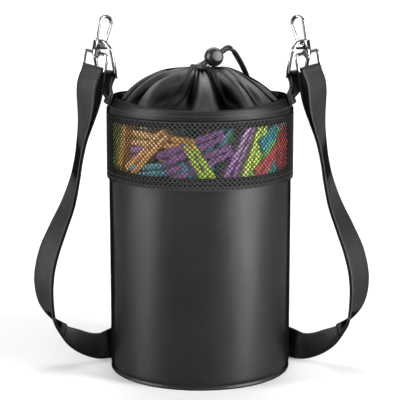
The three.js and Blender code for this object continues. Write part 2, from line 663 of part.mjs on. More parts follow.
function tabStations(ringFoot) {
  const edge = vector(RIM_PULL - RIM_RADIUS - tabOff, TAB_BACK, rimAtTab + FIT);
  const low = vector(edge.x - rimSlant * TAB_LAP, TAB_BACK, rimAtTab - TAB_LAP);
  const neck = ringFoot.clone();
  neck.z -= tabTurn;
  const middle = squared([
    { at: low, across: tabAlong },
    ...Array.from({ length: TAB_STEPS + 1 }, (_, i) => {
      const share = i / TAB_STEPS;
      const ease = share * share * (3 - 2 * share);
      return { at: edge.clone().lerp(neck, share), across: tabAlong.clone().lerp(tabAcross, ease) };
    }),
  ]);
  const layer = (side) => middle.map(({ at, across, face }, i) => {
    const apart = THREE.MathUtils.lerp(tabPitch, 2 * tabTurn, Math.max(0, (i - 1) / TAB_STEPS) ** 3);
    return { at: at.clone().addScaledVector(face, (side * apart) / 2), across };
  });
  const around = Array.from({ length: TURN_STEPS + 1 }, (_, i) => {
    const angle = (Math.PI * i) / TURN_STEPS;
    const at = ringFoot.clone().addScaledVector(ringOut, tabTurn * Math.cos(angle));
    at.z += tabTurn * Math.sin(angle);
    return { at, across: tabAcross };
  });
  return squared([...layer(1), ...around, ...layer(-1).reverse()]);
}

// Shoulder strap: over the eye's lower bar, out and down beside the bag, then round behind it on edge.
// Drop rows: distance beyond the wall, place behind the axis, share of the height, width direction.
const STRAP_DROP = [
  [16.2, -6, 0.91, 0.68, -0.72, -0.1], [20.3, -4, 0.823, 0.5, -0.86, 0], [24.3, -2, 0.751, 0.34, -0.94, 0],
  [27.6, 0, 0.68, 0.28, -0.96, 0], [31, 2, 0.612, 0.33, -0.94, 0], [37.4, 4, 0.525, 0.48, -0.87, 0],
  [47, 6, 0.434, 0.62, -0.78, 0], [56, 7.5, 0.343, 0.72, -0.69, 0], [60.6, 8, 0.255, 0.72, -0.69, 0],
  [59.6, 7, 0.176, 0.62, -0.78, 0], [53.5, 5, 0.114, 0.42, -0.88, -0.2], [46.5, 4, 0.078, 0.28, -0.9, -0.32],
  [38, 5.5, 0.045, 0.2, -0.82, -0.53], [29, 8.5, 0.022, 0.15, -0.72, -0.68],
  [20.5, 12, 0.005, 0.15, -0.66, -0.74], [12.5, 16, -0.0045, 0.1, -0.62, -0.78],
  [5.5, 19.5, -0.005, 0.1, -0.55, -0.83], [1.5, 25, -0.001, 0.1, -0.3, -0.95],
];
// Back rows: angle round the wall from the side, distance beyond it, share of the rise to the slider
const STRAP_BACK = [[25, 6, 0.1], [33, 6.2, 0.35], [41, 6.8, 0.7], [50, 7.8, 1]];
// Last rows before the slider: distance short of the straight run, distance in from it
const STRAP_EASE = [[14, 5.8], [6, 0.8], [0, 0]];
const STRAP_STEPS = 56;
const RETURN_END = 0.44;
const RETURN_JOIN = 0.11;
const strapTurn = EYE_WIRE / 2 + FIT + STRAP_WEBBING / 2;
const backRun = WALL_RADIUS + STRAP_BACK_GAP;
const down = vector(0, 0, -1);

function strapStations(eye, shift) {
  const across = vector(1, 0, 0).transformDirection(eye);
  const front = vector(0, -1, 0).transformDirection(eye);
  const up = vector(0, 0, 1).transformDirection(eye);
  const eyeBar = vector(0, 0, -EYE_HEIGHT).applyMatrix4(eye);
  const rows = [
    { at: eyeBar.clone().addScaledVector(front, strapTurn), across },
    ...STRAP_DROP.map(([out, back, share, x, y, z]) => ({
      at: vector(-WALL_RADIUS - out - shift, back, STRAP_SIDE + share * (eyeBar.z - STRAP_SIDE)),
      across: vector(x, y, z),
    })),
    ...STRAP_BACK.map(([angle, out, rise]) => ({
      at: vector(
        -(WALL_RADIUS + out) * Math.cos(degrees(angle)),
        (WALL_RADIUS + out) * Math.sin(degrees(angle)),
        STRAP_SIDE + rise * (STRAP_LOW - STRAP_SIDE),
      ),
      across: down,
    })),
    ...STRAP_EASE.map(([short, inward]) => (
      { at: vector(-STRAP_RUN - short, backRun - inward, STRAP_LOW), across: down })),
  ];
  const way = new THREE.CatmullRomCurve3(rows.map((row) => row.at));
  const twist = new THREE.CatmullRomCurve3(rows.map((row) => row.across));
  const hanging = Array.from({ length: STRAP_STEPS + 1 }, (_, i) => ({
    at: way.getPoint(i / STRAP_STEPS),
    across: twist.getPoint(i / STRAP_STEPS).normalize(),
  }));
  const fold = Array.from({ length: TURN_STEPS }, (_, i) => {
    const angle = Math.PI * (1 - i / TURN_STEPS);
    const at = eyeBar.clone().addScaledVector(front, strapTurn * Math.cos(angle))
      .addScaledVector(up, strapTurn * Math.sin(angle));
    return { at, across };
  });
  // The returned end lies on the strap's inner face, apart from it only below the eye's bar
  const last = Math.round(RETURN_END * STRAP_STEPS);
  const returned = squared(hanging).slice(0, last + 1).map((station, i) => {
    const joined = Math.min(1, i / STRAP_STEPS / RETURN_JOIN);
    const ease = joined * joined * (3 - 2 * joined);
    const apart = THREE.MathUtils.lerp(2 * strapTurn, STRAP_WEBBING + FIT, ease);
    const start = i === 0 ? 4 * FIT : 0;
    const at = station.at.clone().addScaledVector(station.face, -apart).addScaledVector(up, -start);
    return { ...station, at };
  });
  return { outer: [...fold, ...hanging], returned };
}

const mirrorStations = (stations) => stations.map((station) => Object.fromEntries(
  Object.entries(station).map(([key, v]) => [key, mirrored(v)]),
)).reverse();

const strapHalves = [['left', -1, 0], ['right', 1, RIGHT_SHIFT]].map(([name, side, shift]) => {
  const turn = (v) => (side < 0 ? v.clone() : mirrored(v));
  const turnStations = (stations) => (side < 0 ? stations : mirrorStations(stations));
  const centre = vector(-WALL_RADIUS - HOOK_OUT - shift, -HOOK_FORWARD, rimAtTab + HOOK_ABOVE_RIM);
  const hook = swivelGroup(side, centre, HOOK_YAW);
  const eye = swivelGroup(side, centre, EYE_YAW);
  bag.add(hook, eye);
  add(hook, `hook_body_${name}`, parts.hook, chrome());
  add(hook, `hook_gate_${name}`, parts.gate, chrome()).position.copy(pivot);
  add(hook, `gate_pin_${name}`, parts.pin, springSteel()).position.copy(pivot);
  add(hook, `gate_spring_${name}`, parts.leaf, springSteel());
  add(eye, `swivel_eye_${name}`, parts.eye, chrome());

  const ringFoot = saddle.clone().applyMatrix4(swivelGroup(-1, centre, HOOK_YAW).matrix)
    .addScaledVector(ringUp, -RING_HEIGHT);
  const across = turn(ringBar).multiplyScalar(-side);
  const up = turn(ringUp);
  const ring = add(bag, `d_ring_${name}`, ringGeometry, chrome());
  ring.position.copy(turn(ringFoot));
  ring.quaternion.setFromRotationMatrix(new THREE.Matrix4().makeBasis(across, up.clone().cross(across), up));

  const tab = strip(turnStations(tabStations(ringFoot)), TAB_WIDTH, TAB_WEBBING);
  add(bag, `side_tab_${name}`, tab, webbing());
  const { outer, returned } = strapStations(swivelGroup(-1, centre, EYE_YAW).matrix, shift);
  add(bag, `strap_return_${name}`, strip(turnStations(returned), STRAP_WIDTH, STRAP_WEBBING), webbing());
  return turnStations(outer);
});
const strap = strip(squared(strapHalves.flat()), STRAP_WIDTH, STRAP_WEBBING);
add(bag, 'shoulder_strap', strap, webbing());

// Strap slider behind the bag: two outer bars and a middle bar, the webbing woven between them
const sliderRail = STRAP_WIDTH / 2 + FIT + SLIDER_PLATE / 2;
const sliderFace = STRAP_WEBBING / 2 + FIT + SLIDER_PLATE / 2;
const sliderTall = 2 * sliderRail + SLIDER_PLATE;
const sliderLong = 2 * SLIDER_PITCH + SLIDER_BAR;
const sliderBar = (x, y) => toSolid(
  new THREE.BoxGeometry(SLIDER_BAR, SLIDER_PLATE, sliderTall).translate(x, y, 0),
);
const rail = (z) => toSolid(
  new THREE.BoxGeometry(sliderLong, 2 * sliderFace, SLIDER_PLATE).translate(0, 0, z),
);
const slider = sliderBar(-SLIDER_PITCH, sliderFace).add(sliderBar(SLIDER_PITCH, sliderFace))
  .add(sliderBar(0, -sliderFace)).add(rail(sliderRail)).add(rail(-sliderRail));
add(bag, 'strap_slider', toGeometry(slider), lockPlastic()).position.set(0, backRun, STRAP_LOW);

// Pegs: each leans on the fill in one of three rings behind the netting.
// Rows: ring, angle from the front towards +X, lean from upright, colour.
const LIME = 0x9bc31f;
const GREEN = 0x2f9e3f;
const ORANGE = 0xf08a1d;
const PURPLE = 0x8d3fa0;
const TEAL = 0x2f9aa0;
const BLUE = 0x2a4fb5;
const RED = 0xc92a2a;
const PEGS = [
  [0, -72, 24, ORANGE], [0, -40, 48, ORANGE], [0, 0, 66, PURPLE], [0, 31, 28, PURPLE], [0, 62, 20, LIME],
  [0, 100, -40, RED], [0, 150, 58, TEAL], [0, 200, -30, BLUE], [0, 240, 40, GREEN],
  [1, -58, -20, LIME], [1, -37, -32, ORANGE], [1, 18, -26, LIME], [1, 53, 16, GREEN], [1, 88, 40, BLUE],
  [1, 125, -24, RED], [1, 171, 28, ORANGE], [1, 225, -23, PURPLE],
  [2, -24, 19, TEAL], [2, 15, -25, RED], [2, 170, 45, LIME],
];
// One arm's outline from the jaw to the handle, in shares of the half spread and of the half length
const PEG_ARM = [[0.5, 1], [0.7, 0.69], [0.75, 0], [1, -1], [0.5, -1], [0.1, -0.138]];
const pegSide = PEG_ARM.map(([x, z]) => new THREE.Vector2((x * PEG_SPREAD) / 2, (z * PEG_LENGTH) / 2));
const pegOutline = new THREE.Shape([
  ...pegSide,
  ...pegSide.slice().reverse().map(({ x, y }) => new THREE.Vector2(-x, y)),
]);
const pegGeometry = new THREE.ExtrudeGeometry(pegOutline, { depth: PEG_WIDTH, bevelEnabled: false })
  .translate(0, 0, -PEG_WIDTH / 2).rotateX(Math.PI / 2);

add(bag, 'peg_fill', disc(LINING_RADIUS - FIT, baseInside + BASE_BOARD + FIT, FILL_TOP), board());

PEGS.forEach(([ring, angle, lean, color], i) => {
  const peg = add(bag, `peg_${String(i + 1).padStart(2, '0')}`, pegGeometry, pegPlastic(color));
  const radius = PEG_RINGS[ring] * LINING_RADIUS;
  peg.rotation.set(0, degrees(lean), degrees(angle), 'ZYX');
  const lowest = Math.min(...pegOutline.getPoints().map(({ x, y }) => (
    y * Math.cos(degrees(lean)) - x * Math.sin(degrees(lean)))));
  peg.position.set(
    radius * Math.sin(degrees(angle)),
    -radius * Math.cos(degrees(angle)),
    FILL_TOP + FIT - lowest,
  );
});

export default bag;
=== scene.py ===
import math

import bpy
import numpy as np
from mathutils import Matrix, Vector


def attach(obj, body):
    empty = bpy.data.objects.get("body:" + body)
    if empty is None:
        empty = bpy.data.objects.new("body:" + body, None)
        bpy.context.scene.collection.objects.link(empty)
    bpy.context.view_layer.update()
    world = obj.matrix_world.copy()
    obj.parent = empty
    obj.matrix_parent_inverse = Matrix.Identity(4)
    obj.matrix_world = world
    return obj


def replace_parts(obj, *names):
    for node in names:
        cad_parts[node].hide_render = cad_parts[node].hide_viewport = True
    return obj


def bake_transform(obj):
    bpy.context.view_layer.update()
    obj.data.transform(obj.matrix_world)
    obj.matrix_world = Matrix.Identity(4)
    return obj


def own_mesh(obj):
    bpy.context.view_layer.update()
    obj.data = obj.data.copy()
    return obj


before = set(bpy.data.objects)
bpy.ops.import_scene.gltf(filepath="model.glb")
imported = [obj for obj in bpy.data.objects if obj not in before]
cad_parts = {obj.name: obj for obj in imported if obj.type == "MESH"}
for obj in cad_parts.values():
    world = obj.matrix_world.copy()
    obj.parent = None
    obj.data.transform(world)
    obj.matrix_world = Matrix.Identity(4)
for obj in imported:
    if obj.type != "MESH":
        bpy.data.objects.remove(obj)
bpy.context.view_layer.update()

# Camera and studio
# The camera stands in front and a little above, as in the photograph. A pale floor runs up into
# a backdrop. Large soft lights stand round the bag and above it, and others light the floor.
CAMERA_DISTANCE = 1.25
CAMERA_HEIGHT = 0.3822
CAMERA_TILT = 0.1838
FLOOR_HALF = 5.0
BACKDROP_BEND = 0.8
BACKDROP_START = 1.6
BACKDROP_TOP = 4.0
FLOOR_LIGHT_RING = 2.7
scene = bpy.context.scene
collection = scene.collection
scene.view_settings.view_transform = "Standard"

camera_data = bpy.data.cameras.new("camera")
camera_data.sensor_width = 36
camera_data.lens = 129.6
camera_data.clip_end = 50
camera = bpy.data.objects.new("camera", camera_data)
camera.location = (0, -CAMERA_DISTANCE, CAMERA_HEIGHT)
camera.rotation_euler = (math.pi / 2 - CAMERA_TILT, 0, 0)
collection.objects.link(camera)
scene.camera = camera


def feed(tree, socket, value):
    """Links a node's output to a socket, or sets the socket to a plain value."""
    if isinstance(value, bpy.types.NodeSocket):
        tree.links.new(value, socket)
    else:
        socket.default_value = value


def put(tree, kind, props=None, **inputs):
    """Adds a node. Inputs are named by socket, with spaces as underscores, or by place as i0 or i1."""
    node = tree.nodes.new(kind)
    for key, value in (props or {}).items():
        setattr(node, key, value)
    for key, value in inputs.items():
        by_place = key[0] == "i" and key[1:].isdigit()
        feed(tree, node.inputs[int(key[1:]) if by_place else key.replace("_", " ")], value)
    return node


def material(name):
    """A new node material: its tree, its Principled BSDF already joined to the output."""
    made = bpy.data.materials.new(name)
    made.use_nodes = True
    tree = made.node_tree
    tree.nodes.clear()
    shader = tree.nodes.new("ShaderNodeBsdfPrincipled")
    output = tree.nodes.new("ShaderNodeOutputMaterial")
    tree.links.new(shader.outputs[0], output.inputs[0])
    return made, tree, shader


def settle(tree, shader, **values):
    """Feeds a shader's sockets, named with spaces as underscores."""
    for key, value in values.items():
        feed(tree, shader.inputs[key.replace("_", " ")], value)


def mesh_object(name, vertices, faces, uv=None, smooth=True):
    """A mesh object in the collection; uv has one pair per vertex, in metres."""
    mesh = bpy.data.meshes.new(name)
    mesh.from_pydata([tuple(map(float, v)) for v in vertices], [], faces)
    if uv is not None:
        layer = mesh.uv_layers.new(name="UVMap")
        corners = np.zeros(len(mesh.loops), np.int32)
        mesh.loops.foreach_get("vertex_index", corners)
        layer.data.foreach_set("uv", np.asarray(uv, np.float32)[corners].ravel())
    mesh.polygons.foreach_set("use_smooth", [smooth] * len(mesh.polygons))
    mesh.update()
    made = bpy.data.objects.new(name, mesh)
    collection.objects.link(made)
    return made


floor_material, tree, shader = material("floor")
where = put(tree, "ShaderNodeTexCoord").outputs["Object"]
grain = put(tree, "ShaderNodeTexNoise", Vector=where, Scale=60.0, Detail=4.0).outputs["Fac"]
bump = put(tree, "ShaderNodeBump", Strength=0.02, Distance=0.001, Height=grain).outputs[0]
settle(tree, shader, Base_Color=(0.33, 0.33, 0.33, 1), Roughness=0.6, Normal=bump)

sweep = [(-FLOOR_HALF, 0.0), (BACKDROP_START, 0.0)]
for angle in np.linspace(0.1, math.pi / 2, 12):
    sweep.append((BACKDROP_START + BACKDROP_BEND * math.sin(angle), BACKDROP_BEND * (1 - math.cos(angle))))
sweep.append((BACKDROP_START + BACKDROP_BEND, BACKDROP_TOP))
floor = mesh_object(
    "floor",
    [(x, y, z) for y, z in sweep for x in (-FLOOR_HALF, FLOOR_HALF)],
    [(2 * i, 2 * i + 1, 2 * i + 3, 2 * i + 2) for i in range(len(sweep) - 1)],
)
floor.data.materials.append(floor_material)

world = bpy.data.worlds.new("studio")
world.use_nodes = True
world.node_tree.nodes["Background"].inputs["Color"].default_value = (1, 1, 1, 1)
world.node_tree.nodes["Background"].inputs["Strength"].default_value = 0.12
scene.world = world


def softbox(name, azimuth, height, distance, width, tall, power, aim=(0, 0, 0.17), spread=180):
    """Rectangular lamp, set by degrees from the front towards +X and by metres, and aimed at a point."""
    data = bpy.data.lights.new(name, "AREA")
    data.shape = "RECTANGLE"
    data.size = width
    data.size_y = tall
    data.energy = power
    data.spread = math.radians(spread)
    lamp = bpy.data.objects.new(name, data)
    angle = math.radians(azimuth)
    lamp.location = (distance * math.sin(angle), -distance * math.cos(angle), height)
    lamp.rotation_mode = "QUATERNION"
    lamp.rotation_quaternion = (Vector(aim) - lamp.location).to_track_quat("-Z", "Y")
    collection.objects.link(lamp)


softbox("light_right", azimuth=62, height=0.45, distance=1.3, width=0.42, tall=1.2, power=87)
softbox("light_left", azimuth=-72, height=0.5, distance=1.4, width=0.46, tall=1.2, power=56)
softbox("light_front", azimuth=-6, height=0.95, distance=1.7, width=0.7, tall=0.5, power=15)
softbox("light_top", azimuth=-14, height=1.45, distance=0.75, width=0.6, tall=0.5, power=7)
softbox("light_back", azimuth=180, height=1.5, distance=1.3, width=2.4, tall=1.4, power=78, aim=(0, 1.5, 0))
for azimuth in range(-135, 136, 45):
    angle = math.radians(azimuth)
    below = (FLOOR_LIGHT_RING * math.sin(angle), -FLOOR_LIGHT_RING * math.cos(angle), 0)
    softbox(
        f"light_floor_{azimuth}", azimuth, height=2.2, distance=FLOOR_LIGHT_RING, width=1.9, tall=1.9,
        power=65, aim=below, spread=70,
    )

# Drawcord tails
# Two ends of one braided polyester cord, 2.5 mm thick, pushed through the lock side by side.
# They bend over in a free arc and lie on the cover as far as their knot.
MM = 0.001
CORD = 2.5
CORD_FIT = 0.1
LOCK = np.array([12.0, -3.0, 276.3])
LOCK_TURN = (
    Matrix.Rotation(math.radians(25), 3, "Z") @ Matrix.Rotation(math.radians(-10), 3, "X")
    @ Matrix.Rotation(math.radians(62), 3, "Y")
)
LOCK_ACROSS = np.array(LOCK_TURN @ Vector((1, 0, 0)))
LOCK_CORDWAY = np.array(LOCK_TURN @ Vector((0, 0, 1)))
# Places from the lock's middle: the start below it, distances along its slot, and the route beyond it
TAIL_START = [-10.4, -4.6, -6.6]
TAIL_IN_SLOT = [-8, 0, 7]
TAIL_ROUTE = [
    [8.6, 5, 5.2], [11.7, 6.5, 7.1], [14.6, 7.6, 6.7], [17.3, 8.8, 4.2], [20.2, 10.2, -0.2], [23, 11.8, -5],
    [25.8, 14, -10.5], [28, 17.5, -15.2], [29.3, 23, -18.4], [29.5, 29, -20.9], [29, 35, -23.1],
    [28, 41, -25],
]
# How far the pair has turned at each of these places, from the lock's slot to lying flat on the cover
TAIL_TURN = [0, 0, 0, 0, 0.05, 0.2, 0.4, 0.6, 0.8, 0.95, 1, 1, 1, 1, 1, 1]


def unit(v):
    return v / np.maximum(np.linalg.norm(v, axis=-1, keepdims=True), 1e-12)


TAIL_FLAT = unit(np.array([0.9, 0, -0.44]))


def spline(points, shares):
    """Points of a centripetal Catmull-Rom curve at shares from 0 to 1, even over its segments."""
    p = np.asarray(points, float)
    p = np.vstack([2 * p[0] - p[1], p, 2 * p[-1] - p[-2]])
    last = len(p) - 4
    found = []
    for share in shares:
        i = min(int(share * (last + 1)), last)
        t = share * (last + 1) - i
        a, b, c, d = p[i:i + 4]
        d1 = max(np.linalg.norm(c - b), 1e-8) ** 0.5
        d0 = np.linalg.norm(b - a) ** 0.5
        d2 = np.linalg.norm(d - c) ** 0.5
        d0 = d0 if d0 > 1e-4 else d1
        d2 = d2 if d2 > 1e-4 else d1
        m1 = ((b - a) / d0 - (c - a) / (d0 + d1) + (c - b) / d1) * d1
        m2 = ((c - b) / d1 - (d - b) / (d1 + d2) + (d - c) / d2) * d1
        found.append(
            b + m1 * t + (-3 * b + 3 * c - 2 * m1 - m2) * t * t + (2 * b - 2 * c + m1 + m2) * t ** 3
        )
    return np.array(found)


def directions(points, closed=False):
    if closed:
        return unit(np.roll(points, -1, 0) - np.roll(points, 1, 0))
    return unit(np.gradient(points, axis=0))


def run_along(points):
    """Length from the first point to each of them."""
    return np.concatenate([[0], np.cumsum(np.linalg.norm(np.diff(points, axis=0), axis=1))])


def flat_map(first, second):
    """UVs in metres for a grid of points, from lengths in millimetres along its two directions."""
    return (np.stack(np.broadcast_arrays(first, second), -1) * MM).reshape(-1, 2)


def tube(name, points, radius, sides, closed=False):
    """Round tube along points in millimetres, with UVs round the tube and along it."""
    points = np.asarray(points, float)
    along = directions(points, closed)
    side = np.cross(along[0], [0, 0, 1] if abs(along[0][2]) < 0.9 else [1, 0, 0])
    sides_of = []
    for way in along:
        side = unit(side - way * np.dot(side, way))
        sides_of.append(side)
    sides_of = np.array(sides_of)
    if closed:
        slip = np.arctan2(
            np.dot(np.cross(sides_of[-1], sides_of[0]), along[0]), np.dot(sides_of[-1], sides_of[0])
        )
        turn = np.linspace(0, slip, len(points))[:, None]
        sides_of = sides_of * np.cos(turn) + np.cross(along, sides_of) * np.sin(turn)
    up = np.cross(along, sides_of)
    angle = np.linspace(0, 2 * math.pi, sides + 1)
    ring = sides_of[:, None] * np.cos(angle)[None, :, None] + up[:, None] * np.sin(angle)[None, :, None]
    vertices = points[:, None] + ring * radius
    rows = len(points)
    faces = []
    for i in range(rows if closed else rows - 1):
        for j in range(sides):
            a, b = i * (sides + 1) + j, ((i + 1) % rows) * (sides + 1) + j
            faces.append((a, a + 1, b + 1, b))
    if not closed:
        faces.append(tuple(range(sides - 1, -1, -1)))
        faces.append(tuple((rows - 1) * (sides + 1) + j for j in range(sides)))
    uv = flat_map(angle * radius, run_along(points)[:, None])
    return mesh_object(name, vertices.reshape(-1, 3) * MM, faces, uv)


def math_node(tree, operation, a, b=0.0, c=0.0):
    return put(tree, "ShaderNodeMath", {"operation": operation}, i0=a, i1=b, i2=c).outputs[0]


def scaled(tree, colour, share):
    """A colour made darker or lighter by a share."""
    return put(tree, "ShaderNodeVectorMath", {"operation": "SCALE"}, i0=colour, Scale=share).outputs[0]


def mapped(tree, value, low, high, start=0.0, end=1.0):
    """A value that runs from start to end, made to run from low to high."""
    return put(
        tree, "ShaderNodeMapRange", Value=value, From_Min=start, From_Max=end, To_Min=low, To_Max=high,
    ).outputs[0]


def group(name, inputs, outputs, kind="ShaderNodeTree"):
    """A node group with named sockets: its tree, its input node and its output node."""
    tree = bpy.data.node_groups.new(name, kind)
    for title, socket in inputs:
        tree.interface.new_socket(name=title, in_out="INPUT", socket_type=socket)
    for title, socket in outputs:
        tree.interface.new_socket(name=title, in_out="OUTPUT", socket_type=socket)
    return tree, tree.nodes.new("NodeGroupInput"), tree.nodes.new("NodeGroupOutput")


def use(tree, made, **inputs):
    """The outputs of a shader node group, placed in a material with its own values."""
    return put(tree, "ShaderNodeGroup", {"node_tree": made}, **inputs).outputs


# Height of a two-way weave, for threads one pitch apart
weave, given, result = group(
    "weave",
    [("Vector", "NodeSocketVector"), ("Pitch", "NodeSocketFloat"), ("Stretch", "NodeSocketFloat")],
    [("Height", "NodeSocketFloat")],
)
parts = put(weave, "ShaderNodeSeparateXYZ", Vector=given.outputs["Vector"]).outputs
long_pitch = math_node(weave, "MULTIPLY", given.outputs["Pitch"], given.outputs["Stretch"])
first = math_node(weave, "DIVIDE", parts[0], given.outputs["Pitch"])
second = math_node(weave, "DIVIDE", parts[1], long_pitch)
cells = math_node(weave, "ADD", math_node(weave, "FLOOR", first), math_node(weave, "FLOOR", second))
top = math_node(weave, "FLOORED_MODULO", cells, 2.0)


def thread(a, b):
    """A rounded thread across a, dipping under its neighbours along b."""
    hump, dip = (
        math_node(weave, "SINE", math_node(weave, "MULTIPLY", math_node(weave, "FRACT", way), math.pi))
        for way in (a, b)
    )
    rounded = math_node(weave, "POWER", hump, 0.6)
    return math_node(weave, "MULTIPLY", rounded, math_node(weave, "MULTIPLY_ADD", dip, 0.6, 0.4))


height = put(
    weave, "ShaderNodeMix", {"data_type": "FLOAT"}, i0=top, i2=thread(first, second), i3=thread(second, first)
).outputs[0]
weave.links.new(height, result.inputs["Height"])

# Slow cloudy change between two values, for handling marks and uneven dye
mottle, given, result = group(
    "mottle",
    [("Vector", "NodeSocketVector"), *((title, "NodeSocketFloat") for title in ("Scale", "Low", "High"))],
    [("Value", "NodeSocketFloat")],
)
cloud = put(
    mottle, "ShaderNodeTexNoise", Vector=given.outputs["Vector"], Scale=given.outputs["Scale"], Detail=5.0,
).outputs["Fac"]
clear_cloud = mapped(mottle, cloud, given.outputs["Low"], given.outputs["High"], start=0.3, end=0.7)
mottle.links.new(clear_cloud, result.inputs["Value"])


def cloth(name, colour, roughness, pitch, stretch, depth, turn=0.0, shine=0.36, sheen_contrast=0.2, painted_shade_by=None):
    """Woven cloth on UVs in metres. Its threads shade each other when seen edge-on, so the gloss falls off
    there. The threads of one way are glossier than the others by a given contrast, and a painted sheen makes
    them lighter by the same. The colour carries painted shade in the dips of the weave. Colour and gloss may
    also carry painted shade in folds, from an attribute that is 1 on open cloth and less in its folds."""
    made, tree, shader = material(name)
    where = put(tree, "ShaderNodeTexCoord").outputs
    turned = put(tree, "ShaderNodeMapping", Vector=where["UV"], Rotation=(0, 0, turn)).outputs[0]
    threads = use(tree, weave, Vector=turned, Pitch=pitch, Stretch=stretch)["Height"]
    marks = use(tree, mottle, Vector=where["Object"], Scale=28.0, Low=0.82, High=1.18)[0]
    fine = use(tree, mottle, Vector=where["Object"], Scale=900.0, Low=0.85, High=1.15)[0]
    squares = put(tree, "ShaderNodeMapping", Vector=turned, Scale=(1, 1 / stretch, 1)).outputs[0]
    on_top = put(tree, "ShaderNodeTexChecker", Vector=squares, Scale=1 / pitch).outputs["Fac"]
    # Painted sheen: the threads of one way are made lighter in colour as well as glossier
    painted_sheen_and_shade = math_node(tree, "MULTIPLY_ADD", on_top, 2 * sheen_contrast, 1 - sheen_contrast)
    # Painted shade: colour and gloss are darkened by a mesh attribute that is lower in folds
    if painted_shade_by:
        painted_light_share = put(tree, "ShaderNodeAttribute", {"attribute_name": painted_shade_by}).outputs["Fac"]
        painted_sheen_and_shade = math_node(tree, "MULTIPLY", painted_sheen_and_shade, painted_light_share)
    # Painted shade in the dips of the weave, times handling marks and fine uneven dye
    shade = math_node(tree, "MULTIPLY_ADD", threads, 0.7, 0.5)
    shade = math_node(tree, "MULTIPLY", shade, math_node(tree, "MULTIPLY", marks, fine))
    tint = scaled(tree, colour, math_node(tree, "MULTIPLY", shade, painted_sheen_and_shade))
    bump = put(tree, "ShaderNodeBump", Strength=0.8, Distance=depth, Height=threads).outputs[0]
    wear = math_node(tree, "MULTIPLY", marks, roughness)
    edge_on = put(tree, "ShaderNodeLayerWeight", Blend=0.5).outputs["Facing"]
    gloss = math_node(tree, "MULTIPLY", mapped(tree, edge_on, shine, 0.0, start=0.15, end=0.75), painted_sheen_and_shade)
    settle(tree, shader, Base_Color=tint, Roughness=wear, Normal=bump, Specular_IOR_Level=gloss)
    return made


braid = cloth(
    "drawcord_braid", (0.003, 0.003, 0.0033), roughness=0.6, pitch=0.0009, stretch=1.3, depth=0.0003,
    turn=0.785, shine=0.25,
)

tail_centre = np.vstack([
    LOCK + TAIL_START, *[LOCK + LOCK_CORDWAY * along for along in TAIL_IN_SLOT],
    *[LOCK + place for place in TAIL_ROUTE],
])
tail_way = directions(tail_centre)
tail_side = np.array([LOCK_ACROSS * (1 - t) + TAIL_FLAT * t for t in TAIL_TURN])
tail_side = unit(tail_side - tail_way * np.sum(tail_side * tail_way, 1, keepdims=True))
tails = {}
for name, sign in (("drawcord_tail_front", 1), ("drawcord_tail_back", -1)):
    route = spline(tail_centre + tail_side * sign * (CORD + CORD_FIT) / 2, np.linspace(0, 1, 121))
    piece = tube(name + "_braid", route, CORD / 2, 16)
    piece.data.materials.append(braid)
    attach(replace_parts(piece, name), "bag")
    tails[name] = (piece, route)

# Drawcord knot
# Both tails are tied together in one overhand knot, shown as the cord wound round itself
# so that the tails can't slip back out of the lock.
KNOT_BEYOND = 4.6
KNOT_LIFT = 1.8
KNOT_CORD = 1.15
KNOT_LONG = 0.85
KNOT_WIDE = 0.75
KNOT_TALL = 1.25
knot_way = unit(tail_centre[-1] - tail_centre[-2])
knot_at = tail_centre[-1] + knot_way * KNOT_BEYOND + [0, 0, KNOT_LIFT]
knot_side = unit(np.cross(knot_way, [0, 0, 1]))
knot_up = np.cross(knot_side, knot_way)
turns = np.linspace(0, 2 * math.pi, 90, endpoint=False)
knot_route = (
    knot_at
    + np.outer(np.sin(turns) + 2 * np.sin(2 * turns), knot_way) * KNOT_LONG
    + np.outer(np.cos(turns) - 2 * np.cos(2 * turns), knot_side) * KNOT_WIDE
    + np.outer(-np.sin(3 * turns), knot_up) * KNOT_TALL
)
knot = tube("drawcord_knot_braid", knot_route, KNOT_CORD, 12, closed=True)
knot.data.materials.append(braid)
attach(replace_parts(knot, "drawcord_knot"), "bag")
for name, (piece, route) in tails.items():
    length = float(run_along(route)[-1]) * MM

# Base
# A cloth bottom sewn into the wall, with a stiff board lying on it to keep it flat.
WALL = 80.0
BASE = 78.6
BASE_FLAT = 77.0
BASE_LOW = 0.1
BASE_TOP = 1.2
AXIS = 0.01
OXFORD_BLACK = (0.002, 0.0021, 0.0023)


def about_axis(radius, angle, height):
    """Points round the bag's axis, in millimetres."""
    return np.stack(np.broadcast_arrays(radius * np.cos(angle), radius * np.sin(angle), height), -1)


def cloth_grid(name, points, across, along):
    """Cloth from rows of points, with UVs across and along it, all in millimetres."""
    rows, columns = points.shape[:2]
    faces = [
        (i * columns + j, i * columns + j + 1, (i + 1) * columns + j + 1, (i + 1) * columns + j)
        for i in range(rows - 1) for j in range(columns - 1)
    ]
    return mesh_object(name, points.reshape(-1, 3) * MM, faces, flat_map(across, along))


def turned_piece(name, outline, steps, shift=None):
    """Ring turned about Z from [radius, height] points in millimetres, with UVs round and along it.
    A shift gives how far each point moves out and up, from its angle, radius and height."""
    outline = np.array([*outline, outline[0]], float)
    angle = np.linspace(0, 2 * math.pi, steps + 1)
    r, z = (np.repeat(column, steps + 1, 1) for column in (outline[:, :1], outline[:, 1:]))
    if shift is not None:
        out, up = shift(angle[None], r, z)
        r, z = r + out, z + up
    return cloth_grid(name, about_axis(r, angle, z), angle * WALL, run_along(outline)[:, None])


oxford = cloth(
    "oxford_cloth", OXFORD_BLACK, roughness=0.35, pitch=0.001, stretch=1.0, depth=0.00012, shine=0.22,
    sheen_contrast=0.75,
)

base = turned_piece(
    "base_cloth",
    [(AXIS, BASE_LOW), (BASE_FLAT, BASE_LOW), (BASE, 0.25), (BASE, BASE_TOP), (AXIS, BASE_TOP)], 160,
)
base.data.materials.append(oxford)
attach(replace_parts(base, "base_panel"), "bag")

